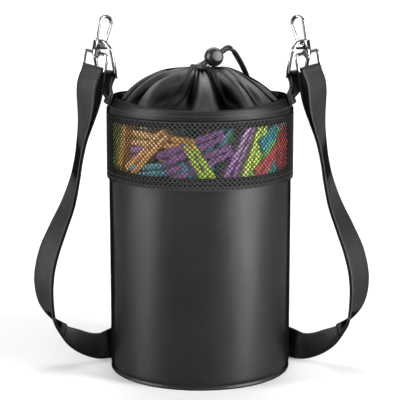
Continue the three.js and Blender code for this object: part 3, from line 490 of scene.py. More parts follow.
board_material, tree, shader = material("base_board")
where = put(tree, "ShaderNodeTexCoord").outputs["Object"]
fibres = put(tree, "ShaderNodeTexNoise", Vector=where, Scale=400.0, Detail=6.0).outputs["Fac"]
bump = put(tree, "ShaderNodeBump", Strength=0.3, Distance=0.0003, Height=fibres).outputs[0]
settle(tree, shader, Base_Color=(0.05, 0.05, 0.05, 1), Roughness=0.8, Normal=bump)
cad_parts["base_board"].data.materials.clear()
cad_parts["base_board"].data.materials.append(board_material)

# Wall
# A tube of black coated Oxford cloth over foam and a lining, stiff enough to stand by itself.
# The cloth turns in at the bottom seam and waves a little between the places where it is held.
WALL_TOP = 175.0
WALL_CLOTH = 1.0
WALL_SLACK = 0.25
WALL_HELD = 60.0
SEAM_HEIGHT = 3.0
SEAM_PINCH = 0.9
HEM_TUCK = 0.6
LAYERS_LOW = 1.6
FOAM_IN = 77.1
FOAM_OUT = 78.6
FOAM_TOP = 174.6
LINING_IN = 76.2
LINING_OUT = 76.8
LINING_TOP = 181.9
wall_levels = np.concatenate([[0.0, 0.4, 1.0, 2.0, 3.0, 4.0], np.linspace(7, 171, 40), [174, WALL_TOP]])


def wall_radius(angle, z):
    """Outer radius of the wall: a pinched bottom seam and soft waves in the cloth."""
    seam = SEAM_PINCH * np.exp(-(((z - SEAM_HEIGHT) / 0.9) ** 2)) + HEM_TUCK * np.exp(-((z / 0.5) ** 2))
    free = np.clip(z / WALL_HELD, 0, 1) * np.clip((WALL_TOP - z) / WALL_HELD, 0, 1)
    waves = 0.22 * np.sin(5 * angle + 0.012 * z) + 0.16 * np.sin(11 * angle - 0.02 * z + 1.3)
    return WALL - WALL_SLACK - seam + free * waves


wall_angle = np.linspace(0, 2 * math.pi, 289)
outer = np.stack([about_axis(wall_radius(wall_angle, z), wall_angle, z) for z in wall_levels])
inner_share = (WALL - WALL_CLOTH) / WALL
inner = outer[::-1] * [inner_share, inner_share, 1]
wall_points = np.concatenate([outer, inner, outer[:1]])
wall = cloth_grid("wall_cloth", wall_points, wall_angle * WALL, wall_points[:, :1, 2])
wall.data.materials.append(oxford)
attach(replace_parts(wall, "wall_shell"), "bag")


def sleeve(low, high, inside, outside):
    """Outline of a plain tube wall."""
    return [(inside, low), (outside, low), (outside, high), (inside, high)]


foam_material, tree, shader = material("wall_foam")
where = put(tree, "ShaderNodeTexCoord").outputs["Object"]
pores = put(tree, "ShaderNodeTexVoronoi", Vector=where, Scale=900.0).outputs["Distance"]
bump = put(tree, "ShaderNodeBump", Strength=0.5, Distance=0.0004, Height=pores).outputs[0]
settle(tree, shader, Base_Color=(0.06, 0.06, 0.06, 1), Roughness=0.9, Normal=bump)
foam = turned_piece("wall_foam_sheet", sleeve(LAYERS_LOW, FOAM_TOP, FOAM_IN, FOAM_OUT), 120)
foam.data.materials.append(foam_material)
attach(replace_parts(foam, "wall_foam"), "bag")

lining_cloth = cloth(
    "nylon_lining", (0.0012, 0.0012, 0.0013), roughness=0.6, pitch=0.0006, stretch=1.0, depth=0.0001,
    shine=0.06,
)
lining = turned_piece("wall_lining_cloth", sleeve(LAYERS_LOW, LINING_TOP, LINING_IN, LINING_OUT), 120)
lining.data.materials.append(lining_cloth)
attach(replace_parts(lining, "wall_lining"), "bag")

# Seam tape
# The wall's edges meet at the back under a folded tape of the same cloth,
# held by a row of stitches along both of its edges.
TAPE_OUT = 81.05
TAPE_TUCK = 0.5
TAPE_HALF_ANGLE = 0.1125
TAPE_LOW = 1.3
TAPE_HIGH = 171.6
TAPE_SEAM_OUT = 80.95
TAPE_SEAM_ANGLE = 0.09
tape_share = np.linspace(-1, 1, 15)
tape_angle = math.pi / 2 + TAPE_HALF_ANGLE * tape_share
tape_bulge = TAPE_OUT - TAPE_TUCK * (np.abs(tape_share) > 0.99)
tape_points = np.stack([about_axis(tape_bulge, tape_angle, z) for z in np.linspace(TAPE_LOW, TAPE_HIGH, 30)])
tape = cloth_grid("wall_seam_tape_cloth", tape_points, tape_angle * WALL, tape_points[..., 2])
tape.data.materials.append(oxford)
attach(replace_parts(tape, "wall_seam_tape"), "bag")

thread_material, tree, shader = material("sewing_thread")
where = put(tree, "ShaderNodeTexCoord").outputs["Object"]
twist = put(tree, "ShaderNodeTexWave", Vector=where, Scale=900.0, Distortion=2.0).outputs["Fac"]
bump = put(tree, "ShaderNodeBump", Strength=0.4, Distance=0.0001, Height=twist).outputs[0]
settle(tree, shader, Base_Color=(0.005, 0.005, 0.0055, 1), Roughness=0.5, Sheen_Weight=0.02, Normal=bump)


def close_tree(tree, instances, finish, result):
    """Ends a geometry tree with real, smooth meshes in one material."""
    solid = put(tree, "GeometryNodeRealizeInstances", Geometry=instances).outputs[0]
    smooth = put(tree, "GeometryNodeSetShadeSmooth", Geometry=solid).outputs[0]
    painted = put(tree, "GeometryNodeSetMaterial", Geometry=smooth, Material=finish).outputs[0]
    tree.links.new(painted, result.inputs[0])


# Stitches: short rounded lengths of thread set along a curve
stitch_tree, given, result = group(
    "stitches",
    [("Geometry", "NodeSocketGeometry"), ("Spacing", "NodeSocketFloat"), ("Length", "NodeSocketFloat"),
     ("Thickness", "NodeSocketFloat"), ("Thread", "NodeSocketMaterial")],
    [("Geometry", "NodeSocketGeometry")],
    "GeometryNodeTree",
)
line = put(stitch_tree, "GeometryNodeMeshToCurve", Mesh=given.outputs["Geometry"]).outputs[0]
spots = put(
    stitch_tree, "GeometryNodeCurveToPoints", {"mode": "LENGTH"}, Curve=line, Length=given.outputs["Spacing"],
).outputs
bead = put(stitch_tree, "GeometryNodeMeshUVSphere", Segments=8, Rings=6, Radius=0.5).outputs[0]
aligned = put(
    stitch_tree, "FunctionNodeAlignRotationToVector", {"axis": "X"}, Vector=spots["Tangent"],
).outputs[0]
thickness = given.outputs["Thickness"]
shape = put(
    stitch_tree, "ShaderNodeCombineXYZ", X=given.outputs["Length"], Y=thickness, Z=thickness,
).outputs[0]
beads = put(
    stitch_tree, "GeometryNodeInstanceOnPoints",
    Points=spots["Points"], Instance=bead, Rotation=aligned, Scale=shape,
).outputs[0]
close_tree(stitch_tree, beads, given.outputs["Thread"], result)


def baked(made):
    """The plain mesh that an object's modifiers give."""
    bpy.context.view_layer.update()
    graph = bpy.context.evaluated_depsgraph_get()
    return bpy.data.meshes.new_from_object(
        made.evaluated_get(graph), preserve_all_data_layers=True, depsgraph=graph,
    )


def grown(name, source, tree, **inputs):
    """The result of a geometry tree on a source mesh, as a plain mesh object."""
    modifier = source.modifiers.new("grow", "NODES")
    modifier.node_group = tree
    for item in tree.interface.items_tree:
        if item.in_out == "INPUT" and item.name in inputs:
            modifier[item.identifier] = inputs[item.name]
    mesh = baked(source)
    source.modifiers.remove(modifier)
    bpy.data.objects.remove(source)
    made = bpy.data.objects.new(name, mesh)
    collection.objects.link(made)
    return made


def stitches(name, runs, body, spacing=2.6, length=1.9, thickness=0.5):
    """Stitches along runs of points in millimetres, as one piece."""
    points, edges = [], []
    for run in runs:
        start = len(points)
        points += [tuple(np.asarray(p) * MM) for p in run]
        edges += [(start + i, start + i + 1) for i in range(len(run) - 1)]
    mesh = bpy.data.meshes.new(name + "_run")
    mesh.from_pydata(points, edges, [])
    source = bpy.data.objects.new(name + "_run", mesh)
    collection.objects.link(source)
    made = grown(
        name, source, stitch_tree, Spacing=spacing * MM, Length=length * MM, Thickness=thickness * MM,
        Thread=thread_material,
    )
    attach(made, body)
    return made


tape_seams = [
    about_axis(TAPE_SEAM_OUT, math.pi / 2 + aside, np.linspace(3, 170, 60))
    for aside in (-TAPE_SEAM_ANGLE, TAPE_SEAM_ANGLE)
]
stitches("wall_seam_stitches", tape_seams, "bag")

# Netting window
# Knitted polyester net with a diamond mesh, sewn over the wall below and the rim's skirt above.
# Each strand winds up round the bag, and strands of the two slants cross in small knots.
NET_STRANDS = 122
NET_SLANT = 0.72
NET_OUT = 81.2
NET_LOW = 172.4
NET_HEIGHT = 56.6
NET_YARN = 0.5
NET_EDGE_OUT = 81.15
NET_EDGES = {"mesh_band_edge_low": 172.6, "mesh_band_edge_high": 228.8}
NET_SEAM_OUT = 81.75
NET_SEAMS = [175.2, 179.0]
net_material, tree, shader = material("netting")
where = put(tree, "ShaderNodeTexCoord").outputs["Object"]
fuzz = put(tree, "ShaderNodeTexNoise", Vector=where, Scale=2600.0, Detail=3.0).outputs["Fac"]
bump = put(tree, "ShaderNodeBump", Strength=0.6, Distance=0.0002, Height=fuzz).outputs[0]
tint = scaled(tree, (0.0075, 0.0075, 0.0076), mapped(tree, fuzz, 0.6, 1.4))
# Seen edge-on the strands shade each other, so the net loses its gloss at the bag's sides
level = put(tree, "ShaderNodeVectorMath", {"operation": "MULTIPLY"}, i0=where, i1=(1, 1, 0)).outputs[0]
outward = put(tree, "ShaderNodeVectorMath", {"operation": "NORMALIZE"}, i0=level).outputs[0]
edge_on = put(tree, "ShaderNodeLayerWeight", Blend=0.5, Normal=outward).outputs["Facing"]
gloss = mapped(tree, edge_on, 0.3, 0.0, start=0.1, end=0.6)
settle(tree, shader, Base_Color=tint, Roughness=0.6, Specular_IOR_Level=gloss, Normal=bump)

net_sizes = ("Radius", "Bottom", "Height", "Slant", "Yarn", "Knots")
net_tree, given, result = group(
    "netting",
    [("Geometry", "NodeSocketGeometry"), ("Strands", "NodeSocketInt"),
     *((title, "NodeSocketFloat") for title in net_sizes), ("Finish", "NodeSocketMaterial")],
    [("Geometry", "NodeSocketGeometry")],
    "GeometryNodeTree",
)
upright = put(net_tree, "GeometryNodeCurvePrimitiveLine", Start=(0, 0, 0), End=(0, 0, 1)).outputs[0]
upright = put(net_tree, "GeometryNodeResampleCurve", Curve=upright, Count=70).outputs[0]
position = net_tree.nodes.new("GeometryNodeInputPosition").outputs[0]
level = put(net_tree, "ShaderNodeSeparateXYZ", Vector=position).outputs[2]
swing = math_node(net_tree, "MULTIPLY", level, given.outputs["Slant"])
bent = put(
    net_tree, "ShaderNodeCombineXYZ",
    X=math_node(net_tree, "MULTIPLY", math_node(net_tree, "COSINE", swing), given.outputs["Radius"]),
    Y=math_node(net_tree, "MULTIPLY", math_node(net_tree, "SINE", swing), given.outputs["Radius"]),
    Z=math_node(net_tree, "MULTIPLY_ADD", level, given.outputs["Height"], given.outputs["Bottom"]),
).outputs[0]
knots_passed = math_node(net_tree, "MULTIPLY", level, given.outputs["Knots"])
beat = math_node(net_tree, "COSINE", math_node(net_tree, "MULTIPLY", knots_passed, 2 * math.pi))
swell = math_node(net_tree, "MULTIPLY_ADD", beat, 0.16, 0.95)
strand = put(net_tree, "GeometryNodeSetCurveRadius", Curve=upright, Radius=swell).outputs[0]
strand = put(net_tree, "GeometryNodeSetPosition", Geometry=strand, Position=bent).outputs[0]
yarn = put(
    net_tree, "GeometryNodeCurvePrimitiveCircle", Resolution=4, Radius=given.outputs["Yarn"],
).outputs[0]
strand = put(net_tree, "GeometryNodeCurveToMesh", Curve=strand, Profile_Curve=yarn).outputs[0]
other = put(net_tree, "GeometryNodeTransform", Geometry=strand, Scale=(1, -1, 1)).outputs[0]
other = put(net_tree, "GeometryNodeFlipFaces", Mesh=other).outputs[0]
pair = net_tree.nodes.new("GeometryNodeJoinGeometry")
net_tree.links.new(strand, pair.inputs[0])
net_tree.links.new(other, pair.inputs[0])
centres = put(net_tree, "GeometryNodePoints", Count=given.outputs["Strands"]).outputs[0]
step = math_node(net_tree, "DIVIDE", 2 * math.pi, given.outputs["Strands"])
angle = math_node(net_tree, "MULTIPLY", net_tree.nodes.new("GeometryNodeInputIndex").outputs[0], step)
spun = put(net_tree, "ShaderNodeCombineXYZ", Z=angle).outputs[0]
spun = put(net_tree, "FunctionNodeEulerToRotation", Euler=spun).outputs[0]
all_strands = put(
    net_tree, "GeometryNodeInstanceOnPoints", Points=centres, Instance=pair.outputs[0], Rotation=spun,
).outputs[0]
close_tree(net_tree, all_strands, given.outputs["Finish"], result)


def round_run(radius, height, steps=240, shift=None):
    """A level ring of points in millimetres, or one shifted out and up by angle."""
    angle = np.linspace(0, 2 * math.pi, steps)
    out, up = (0, 0) if shift is None else shift(angle, radius, height)
    return about_axis(radius + out, angle, height + up)


net_source = mesh_object("net_source", [(0, 0, 0)], [])
net = grown(
    "mesh_band_net", net_source, net_tree, Strands=NET_STRANDS, Radius=NET_OUT * MM, Bottom=NET_LOW * MM,
    Height=NET_HEIGHT * MM, Slant=NET_SLANT, Yarn=NET_YARN * MM, Knots=NET_STRANDS * NET_SLANT / math.pi,
    Finish=net_material,
)
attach(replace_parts(net, "mesh_band"), "bag")
for name, height in NET_EDGES.items():
    edge = tube(name, round_run(NET_EDGE_OUT, height)[:-1], NET_YARN, 8, closed=True)
    edge.data.materials.append(net_material)
    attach(edge, "bag")
net_seams = [round_run(NET_SEAM_OUT, height) for height in NET_SEAMS]
stitches("mesh_band_stitches", net_seams, "bag", spacing=2.9, length=2.0)

# Rim
# The mouth's edge is Oxford cloth folded over a wire hoop, higher at the two tabs than in front.
# Its skirt goes behind the netting's upper edge and is stitched through it.
RIM_TOP = 238.3
RIM_LOW = 232.3
RIM_OUT = 81.5
RIM_FOLD = 79.5
RIM_RISE = 5.5
RIM_PULL = 4.5
RIM_SEAM = 234.0
FACING_IN = 78.2
FACING_OUT = 78.7
FACING_LOW = 223.0
FACING_TOP = 232.0
HOOP = 77.6
HOOP_HEIGHT = 235.9
HOOP_WIRE = 1.1


def drawn_rim(angle, radius, height):
    """At the tabs the rim's fold rises and is drawn inwards, while its skirt stays on the netting."""
    outer = np.clip((height - RIM_LOW) / (RIM_TOP - RIM_LOW), 0, 1)
    share = np.where(np.less(radius, RIM_FOLD), np.greater(height, RIM_LOW), outer) * np.cos(angle) ** 2
    return -RIM_PULL * share, RIM_RISE * share


bend = np.linspace(0, math.pi / 2, 6)
rim_skirt = [(79, 228), (80, 228), (80, 229.4), (80.9, 229.5), (81.4, 229.9)]
rim_skirt += [(RIM_OUT, 230.6), (RIM_OUT, RIM_LOW)]
rim_outside = [(81.3, 235.4)] + [(79.4 + 1.9 * math.cos(a), RIM_TOP - 1.9 + 1.9 * math.sin(a)) for a in bend]
rim_inside = [(78.9 - 3.7 * math.sin(a), RIM_TOP - 4.2 + 4.2 * math.cos(a)) for a in bend]
rim_hem = [(75.2, 232.8), (75.9, 232.8), (76.1, 235.5), (77.5, 237.2), (79, 237.0)]
rim = turned_piece("rim_band_cloth", rim_skirt + rim_outside + rim_inside + rim_hem, 240, shift=drawn_rim)
rim_cloth = cloth(
    "rim_cloth", OXFORD_BLACK, roughness=0.42, pitch=0.001, stretch=1.0, depth=0.00012, shine=0.13,
    sheen_contrast=0.6,
)
rim.data.materials.append(rim_cloth)
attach(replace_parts(rim, "rim_band"), "bag")
facing = turned_piece("rim_facing_cloth", sleeve(FACING_LOW, FACING_TOP, FACING_IN, FACING_OUT), 160)
facing.data.materials.append(lining_cloth)
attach(facing, "bag")
stitches("rim_stitches", [round_run(RIM_OUT, RIM_SEAM, shift=drawn_rim)], "bag", spacing=2.8)

steel, tree, shader = material("spring_steel")
where = put(tree, "ShaderNodeTexCoord").outputs["Object"]
drawn = put(tree, "ShaderNodeTexNoise", Vector=where, Scale=700.0, Detail=5.0).outputs["Fac"]
settle(tree, shader, Base_Color=(0.5, 0.5, 0.52, 1), Metallic=1.0, Roughness=mapped(tree, drawn, 0.22, 0.45))
hoop = tube("rim_hoop_wire", round_run(HOOP, HOOP_HEIGHT, 181, drawn_rim)[:-1], HOOP_WIRE, 12, closed=True)
hoop.data.materials.append(steel)
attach(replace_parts(hoop, "rim_hoop"), "bag")

# Gathered cover
# Thin nylon sewn inside the rim and drawn shut by the cord in its hem. It falls in a few broad folds
# that start as tight pleats at the mouth, and it lies smoother where the cord rests on it.
COVER_EDGE = 74.6
COVER_SEAM_DROP = 5.0
COVER_MOUTH = 8.75
COVER_TOP = 266.3
CROWN_CURVE = 2.9
HOLLOW_CURVE = 0.38
COVER_LEAN = 1.2
PUCKER = 0.9
CREASE = 2.0
PAINTED_FOLD_SHADE = 0.94
HEM = 7.2
HEM_LOW = 266.1
HEM_ROLL = 1.75
# Folds: degrees from the front towards +X at the mouth and at the rim, width towards -X and towards +X,
# and share of full height
PLEATS = [
    (8, 4, 11.5, 11, 1.0), (52, 36, 6.5, 10, 0.95), (75, 57, 12, 14, 0.96), (96, 86, 16, 18, 1.0),
    (118, 118, 22, 22, 1.0), (146, 142, 20, 18, 1.0), (172, 172, 14, 14, 0.96), (-66, -45, 8, 11, 0.86),
    (-88, -66, 8, 7, 0.93), (-112, -92, 13, 10, 1.0), (-140, -124, 14, 12, 0.95), (-165, -160, 14, 14, 1.0),
]
# The raised right shoulder: its height, its distance from the axis and degrees from the front,
# and the spread of these two
SHOULDER_RISE = 3.5
SHOULDER_OUT = 25.0
SHOULDER_TURN = 68.0
SHOULDER_SPREAD = (13.0, 38.0)
cover_turn = np.linspace(-180, 180, 481)
cover_angle = np.radians(cover_turn - 90)
puckers = np.cos(np.radians(23 * cover_turn) + 2.2 * np.sin(np.radians(3 * cover_turn)))
creases = np.cos(np.radians(31 * cover_turn) + 3 * np.sin(np.radians(2 * cover_turn)))
pull, rise = drawn_rim(cover_angle, COVER_EDGE, RIM_TOP)
reach = COVER_EDGE + pull
seam = RIM_TOP - COVER_SEAM_DROP + rise
cover_rows = []
cover_painted_light = []
for share in np.linspace(0, 1, 71) ** 1.3:
    radius = reach + (COVER_MOUTH - reach) * share
    sunk = 1.0
    for at_mouth, at_rim, low_side, high_side, full in PLEATS:
        off = np.radians(cover_turn - at_rim - (at_mouth - at_rim) * share)
        aside = radius * np.sin(off) / np.where(np.sin(off) < 0, low_side, high_side)
        sunk = sunk * (1 - full * np.exp(-np.abs(aside) ** 3) * (np.cos(off) > 0))
    drawn_up = 1 - (radius / reach) ** CROWN_CURVE
    hollow = 1 - ((radius - COVER_MOUTH) / (reach - COVER_MOUTH)) ** HOLLOW_CURVE
    lean = COVER_LEAN * (1 - (1 - share) ** 5) * (1 - share ** 3) * np.cos(cover_angle)
    shoulder = SHOULDER_RISE * np.exp(
        -(((radius - SHOULDER_OUT) / SHOULDER_SPREAD[0]) ** 2)
        - ((cover_turn - SHOULDER_TURN) / SHOULDER_SPREAD[1]) ** 2
    )
    height = seam + (COVER_TOP - seam) * (drawn_up + (hollow - drawn_up) * sunk) - lean + shoulder
    height = height + PUCKER * share ** 7 * puckers + CREASE * share ** 2 * (1 - share) * creases
    cover_rows.append(about_axis(radius, cover_angle, height))
    # Painted shade for the hollows between the folds, strongest near the rim and none at the mouth
    cover_painted_light.append(1 - PAINTED_FOLD_SHADE * (1 - share ** 3) * np.clip(1.5 * sunk, 0, 1))
skirt = [cover_rows[0] - [0, 0, drop] for drop in (2.0, 1.0)]
hem_puckers = 1 + 0.2 * puckers
hem_height = 1.9 + 1.2 * np.clip(-np.cos(cover_angle), 0, 1) + 3.6 * np.exp(-((cover_turn / 28) ** 2))
hem = [
    about_axis(
        HEM + HEM_ROLL * math.cos(step) * hem_puckers, cover_angle,
        HEM_LOW + hem_height * math.sin(step) * hem_puckers,
    )
    for step in np.linspace(0.2, math.pi, 7)
]
cover_points = np.stack([*skirt, *cover_rows, *hem])
front_run = run_along(cover_points[:, len(cover_turn) // 2])
edge_run = np.radians(cover_turn) * COVER_EDGE
cover = cloth_grid("gathered_cover_cloth", cover_points, edge_run, front_run[:, None])
# The nylon's colour and gloss take painted shade from the attribute set below
nylon = cloth(
    "nylon_cover", (0.0022, 0.0022, 0.0024), roughness=0.36, pitch=0.0005, stretch=1.0, depth=0.00006,
    shine=0.46, painted_shade_by="painted_light_share",
)
ones = np.ones_like(cover_turn)
cover_painted_light = np.stack([ones] * len(skirt) + cover_painted_light + [ones] * len(hem))
# Painted shade: 1 where the cloth is open, lower in the folds' hollows; it darkens the nylon's colour and
# gloss
painted_light_share = cover.data.attributes.new("painted_light_share", "FLOAT", "POINT")
painted_light_share.data.foreach_set("value", cover_painted_light.astype(np.float32).ravel())
cover.data.materials.append(nylon)
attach(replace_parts(cover, "gathered_cover"), "bag")

# Drawcord loop
# The stretch of the same cord that runs inside the cover's hem, round the mouth.
LOOP_HEIGHT = 265.9
loop = tube("drawcord_loop_braid", round_run(HEM, LOOP_HEIGHT, 97)[:-1], CORD / 2 - CORD_FIT, 12, closed=True)
loop.data.materials.append(braid)
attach(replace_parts(loop, "drawcord_loop"), "bag")

# Cord lock
# A moulded plastic ball with a slot for both tails. A grey button in its side is pushed out by a spring
# and grips them; pressing it lines up its own slot and lets the ball slide along the cord.
LOCK_BALL = 8.5
LOCK_BORE = 4.9
LOCK_MOUTH = 5.6
SLOT_WIDE = 3.1
SLOT_DEEP = 1.55
SLOT_LONG = 14.0
BUTTON = 4.6
BUTTON_TRAVEL = 2.0
COIL = 3.2
COIL_WIRE = 0.3
COIL_START = 3.0
COIL_LENGTH = 2.2
COIL_TURNS = 2


def plastic(name, colour, roughness, grain=500.0, depth=0.00006, shine=0.5):
    """Moulded plastic with a fine grain and faint handling marks."""
    made, tree, shader = material(name)
    where = put(tree, "ShaderNodeTexCoord").outputs["Object"]
    fine = put(tree, "ShaderNodeTexNoise", Vector=where, Scale=grain, Detail=4.0).outputs["Fac"]
    marks = use(tree, mottle, Vector=where, Scale=60.0, Low=0.85, High=1.15)[0]
    bump = put(tree, "ShaderNodeBump", Strength=0.5, Distance=depth, Height=fine).outputs[0]
    wear = math_node(tree, "MULTIPLY", marks, roughness)
    tint = scaled(tree, colour, marks)
    settle(tree, shader, Base_Color=tint, Roughness=wear, Normal=bump, Specular_IOR_Level=shine)
    return made


def evaluated(made, *modifiers):
    """Replaces an object's mesh by its own result under modifiers, each a type and its settings."""
    for kind, settings in modifiers:
        modifier = made.modifiers.new(kind.lower(), kind)
        for key, value in settings.items():
            setattr(modifier, key, value)
    mesh = baked(made)
    made.modifiers.clear()
    made.data = mesh
    return made


def lathe(name, outline, steps):
    """Solid turned about Z from [radius, height] points in millimetres, closed on the axis at both ends."""
    angle = np.linspace(0, 2 * math.pi, steps, endpoint=False)
    vertices = [(0, 0, outline[0][1] * MM)]
    vertices += [(r * math.cos(a) * MM, r * math.sin(a) * MM, z * MM) for r, z in outline for a in angle]
    vertices += [(0, 0, outline[-1][1] * MM)]
    last = len(vertices) - 1
    faces = [(0, 1 + (j + 1) % steps, 1 + j) for j in range(steps)]
    for i in range(len(outline) - 1):
        for j in range(steps):
            a, b = 1 + i * steps + j, 1 + i * steps + (j + 1) % steps
            faces.append((a, b, b + steps, a + steps))
    top = 1 + (len(outline) - 1) * steps
    faces += [(last, top + j, top + (j + 1) % steps) for j in range(steps)]
    return mesh_object(name, vertices, faces)


def brick(name, low, high):
    """Block between two corners in millimetres."""
    corners = [
        (x * MM, y * MM, z * MM)
        for x in (low[0], high[0]) for y in (low[1], high[1]) for z in (low[2], high[2])
    ]
    faces = [(0, 1, 3, 2), (4, 6, 7, 5), (0, 4, 5, 1), (2, 3, 7, 6), (0, 2, 6, 4), (1, 5, 7, 3)]
    return mesh_object(name, corners, faces, smooth=False)


def carved(made, *cutters):
    """Cuts other objects out of one, and uses them up."""
    cut = {"operation": "DIFFERENCE", "solver": "EXACT"}
    evaluated(made, *[("BOOLEAN", {**cut, "object": cutter}) for cutter in cutters])
    for cutter in cutters:
        bpy.data.objects.remove(cutter)
    return made


def creased(made, angle=35):
    """Smooth shading that keeps edges sharper than an angle."""
    made.data.polygons.foreach_set("use_smooth", [True] * len(made.data.polygons))
    made.data.set_sharp_from_angle(angle=math.radians(angle))
    return made


def moved(made, matrix):
    made.data.transform(matrix)
    made.data.update()
    return made


lock_place = Matrix.Translation(Vector(LOCK) * MM) @ LOCK_TURN.to_4x4()
turn_to_button = Matrix.Rotation(math.pi / 2, 4, "X")
ball_angle = np.linspace(0.02, math.pi - 0.02, 40)
ball = lathe("cord_lock_ball", [(LOCK_BALL * math.sin(a), -LOCK_BALL * math.cos(a)) for a in ball_angle], 64)
bore_outline = [(LOCK_BORE, -5.8), (LOCK_BORE, 6.6), (LOCK_MOUTH, 7.4), (LOCK_MOUTH, 12)]
bore = moved(lathe("bore", bore_outline, 48), turn_to_button)
slot = brick("slot", (-SLOT_WIDE, -SLOT_DEEP, -SLOT_LONG), (SLOT_WIDE, SLOT_DEEP, SLOT_LONG))
ball = moved(creased(carved(ball, bore, slot)), lock_place)
ball.data.materials.append(plastic("lock_plastic", (0.004, 0.004, 0.0045), roughness=0.34, shine=0.2))
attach(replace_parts(ball, "cord_lock_body"), "lock")

button_outline = [(BUTTON, -2.4), (BUTTON, 7.7), (4.45, 8.05), (4.1, 8.2), (2.0, 8.35), (0.5, 8.4)]
button = moved(lathe("cord_lock_push", button_outline, 48), turn_to_button)
button_slot = brick(
    "button_slot", (-SLOT_WIDE, -SLOT_DEEP - BUTTON_TRAVEL, -SLOT_LONG), (SLOT_WIDE, SLOT_DEEP, SLOT_LONG),
)
button = moved(creased(carved(button, button_slot)), lock_place)
button_plastic = plastic("button_plastic", (0.028, 0.029, 0.029), roughness=0.42, grain=900.0, shine=0.15)
button.data.materials.append(button_plastic)
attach(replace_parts(button, "cord_lock_button"), "lock_button")

coil_end = COIL_TURNS * 2 * math.pi
coil_route = [
    (COIL * math.cos(a), COIL_START + COIL_LENGTH * a / coil_end, COIL * math.sin(a))
    for a in np.linspace(0, coil_end, 65)
]
coil = moved(tube("cord_lock_coil", coil_route, COIL_WIRE, 10), lock_place)
coil.data.materials.append(steel)
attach(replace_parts(coil, "cord_lock_spring"), "lock")
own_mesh(coil)

# Snap hooks, gates and swivel eyes
# Chromed zinc hooks: a bent wire on a slotted base with a swivel post, closed by a sprung gate on a rivet.
# Each post turns in the boss of a wire eye that holds the strap.
FIT = 0.3
SIDES = {"left": (-1, 0.0), "right": (1, 2.8)}
HOOK_YAW = 43.0
EYE_YAW = -45.0
SWIVEL_TILT = 9.5
SWIVEL_OUT = 89.4
SWIVEL_FORWARD = 5.0
RIM_AT_TAB = RIM_TOP + RIM_RISE
HOOK_ABOVE_RIM = 36.5
HOOK_WIRE = 1.6
HOOK_STEM = -1.7
HOOK_BEND = 6.5
HOOK_SHOULDER = 25.2
HOOK_FOOT = 4.8
PIVOT = (7.4, 6.4)
PIN_HOLE = 1.1
GATE_SLOT = 3.6
GATE_SLOT_HALF = 1.2
GATE_HUB = 2.5
GATE_HALF = 1.1
GATE_THICK = 1.8
GATE_TIP = (11.3, 23.5)
GATE_LEAN = math.atan2(GATE_TIP[0] - PIVOT[0], GATE_TIP[1] - PIVOT[1])
GATE_REACH = math.dist(GATE_TIP, PIVOT)
LEAF = 0.3
LEAF_WIDTH = 1.4
LEAF_FOOT = 1.0
LEAF_KNEE = 3.2
LEAF_REACH = 9.0
EYE_WIDTH = 28.6
EYE_DROP = 14.5
EYE_WIRE = 1.5

chrome, tree, shader = material("chrome")
where = put(tree, "ShaderNodeTexCoord").outputs["Object"]
haze = use(tree, mottle, Vector=where, Scale=220.0, Low=0.1, High=0.2)[0]
scratch = put(
    tree, "ShaderNodeTexNoise", Vector=where, Scale=900.0, Detail=6.0, Distortion=1.5,
).outputs["Fac"]
bump = put(tree, "ShaderNodeBump", Strength=0.08, Distance=0.0001, Height=scratch).outputs[0]
settle(
    tree, shader, Base_Color=(0.16, 0.16, 0.162, 1), Metallic=1.0, Roughness=haze,
    Specular_Tint=(0.1, 0.1, 0.1, 1), Normal=bump,
)


def swivel_place(side, shift, yaw):
    """Place of a swivel part; the right one is the left one's mirror image, shifted outwards."""
    out = (SWIVEL_OUT + shift) * side
    at = Vector((out, -SWIVEL_FORWARD, RIM_AT_TAB + HOOK_ABOVE_RIM)) * MM
    tilt = Matrix.Rotation(-side * math.radians(SWIVEL_TILT), 4, "Y")
    spin = math.radians(yaw) if side < 0 else math.pi - math.radians(yaw)
    return Matrix.Translation(at) @ tilt @ Matrix.Rotation(spin, 4, "Z")


def merged(name, *pieces):
    """One mesh object from several, which are used up."""
    made = pieces[0]
    with bpy.context.temp_override(active_object=made, selected_editable_objects=list(pieces)):
        bpy.ops.object.join()
    made.name = name
    made.data.name = name
    return made


def plate(name, outline, depth, edge):
    """Flat piece from [x, z] points in millimetres, centred on Y, with rounded edges."""
    count = len(outline)
    vertices = [(x * MM, y * MM, z * MM) for y in (-depth / 2, depth / 2) for x, z in outline]
    faces = [tuple(range(count)), tuple(range(2 * count - 1, count - 1, -1))]
    faces += [(j, j + count, (j + 1) % count + count, (j + 1) % count) for j in range(count)]
    made = mesh_object(name, vertices, faces)
    bevel = {"width": edge * MM, "segments": 3, "limit_method": "ANGLE", "angle_limit": math.radians(40)}
    return creased(evaluated(made, ("BEVEL", bevel)), 50)


def arc(centre, radius, start, end, count):
    angles = np.linspace(start, end, count)
    return [(centre[0] + radius * math.cos(a), centre[1] + radius * math.sin(a)) for a in angles]


def rounded_frame(width, low, high, corner, top_corner):
    """Closed outline with one radius for its lower corners and another for its upper ones."""
    half = width / 2
    top_steps = 25 if top_corner > 6 else 9
    return (
        arc((half - corner, low + corner), corner, -math.pi / 2, 0, 9)
        + arc((half - top_corner, high - top_corner), top_corner, 0, math.pi / 2, top_steps)
        + arc((-half + top_corner, high - top_corner), top_corner, math.pi / 2, math.pi, top_steps)
        + arc((-half + corner, low + corner), corner, math.pi, 1.5 * math.pi, 9)
    )


def wire_frame(name, outline, radius):
    """Bent wire along a closed outline in the XZ plane."""
    kept = [p for i, p in enumerate(outline) if math.dist(p, outline[i - 1]) > 0.01]
    return tube(name, [(x, 0, z) for x, z in kept], radius, 20, closed=True)


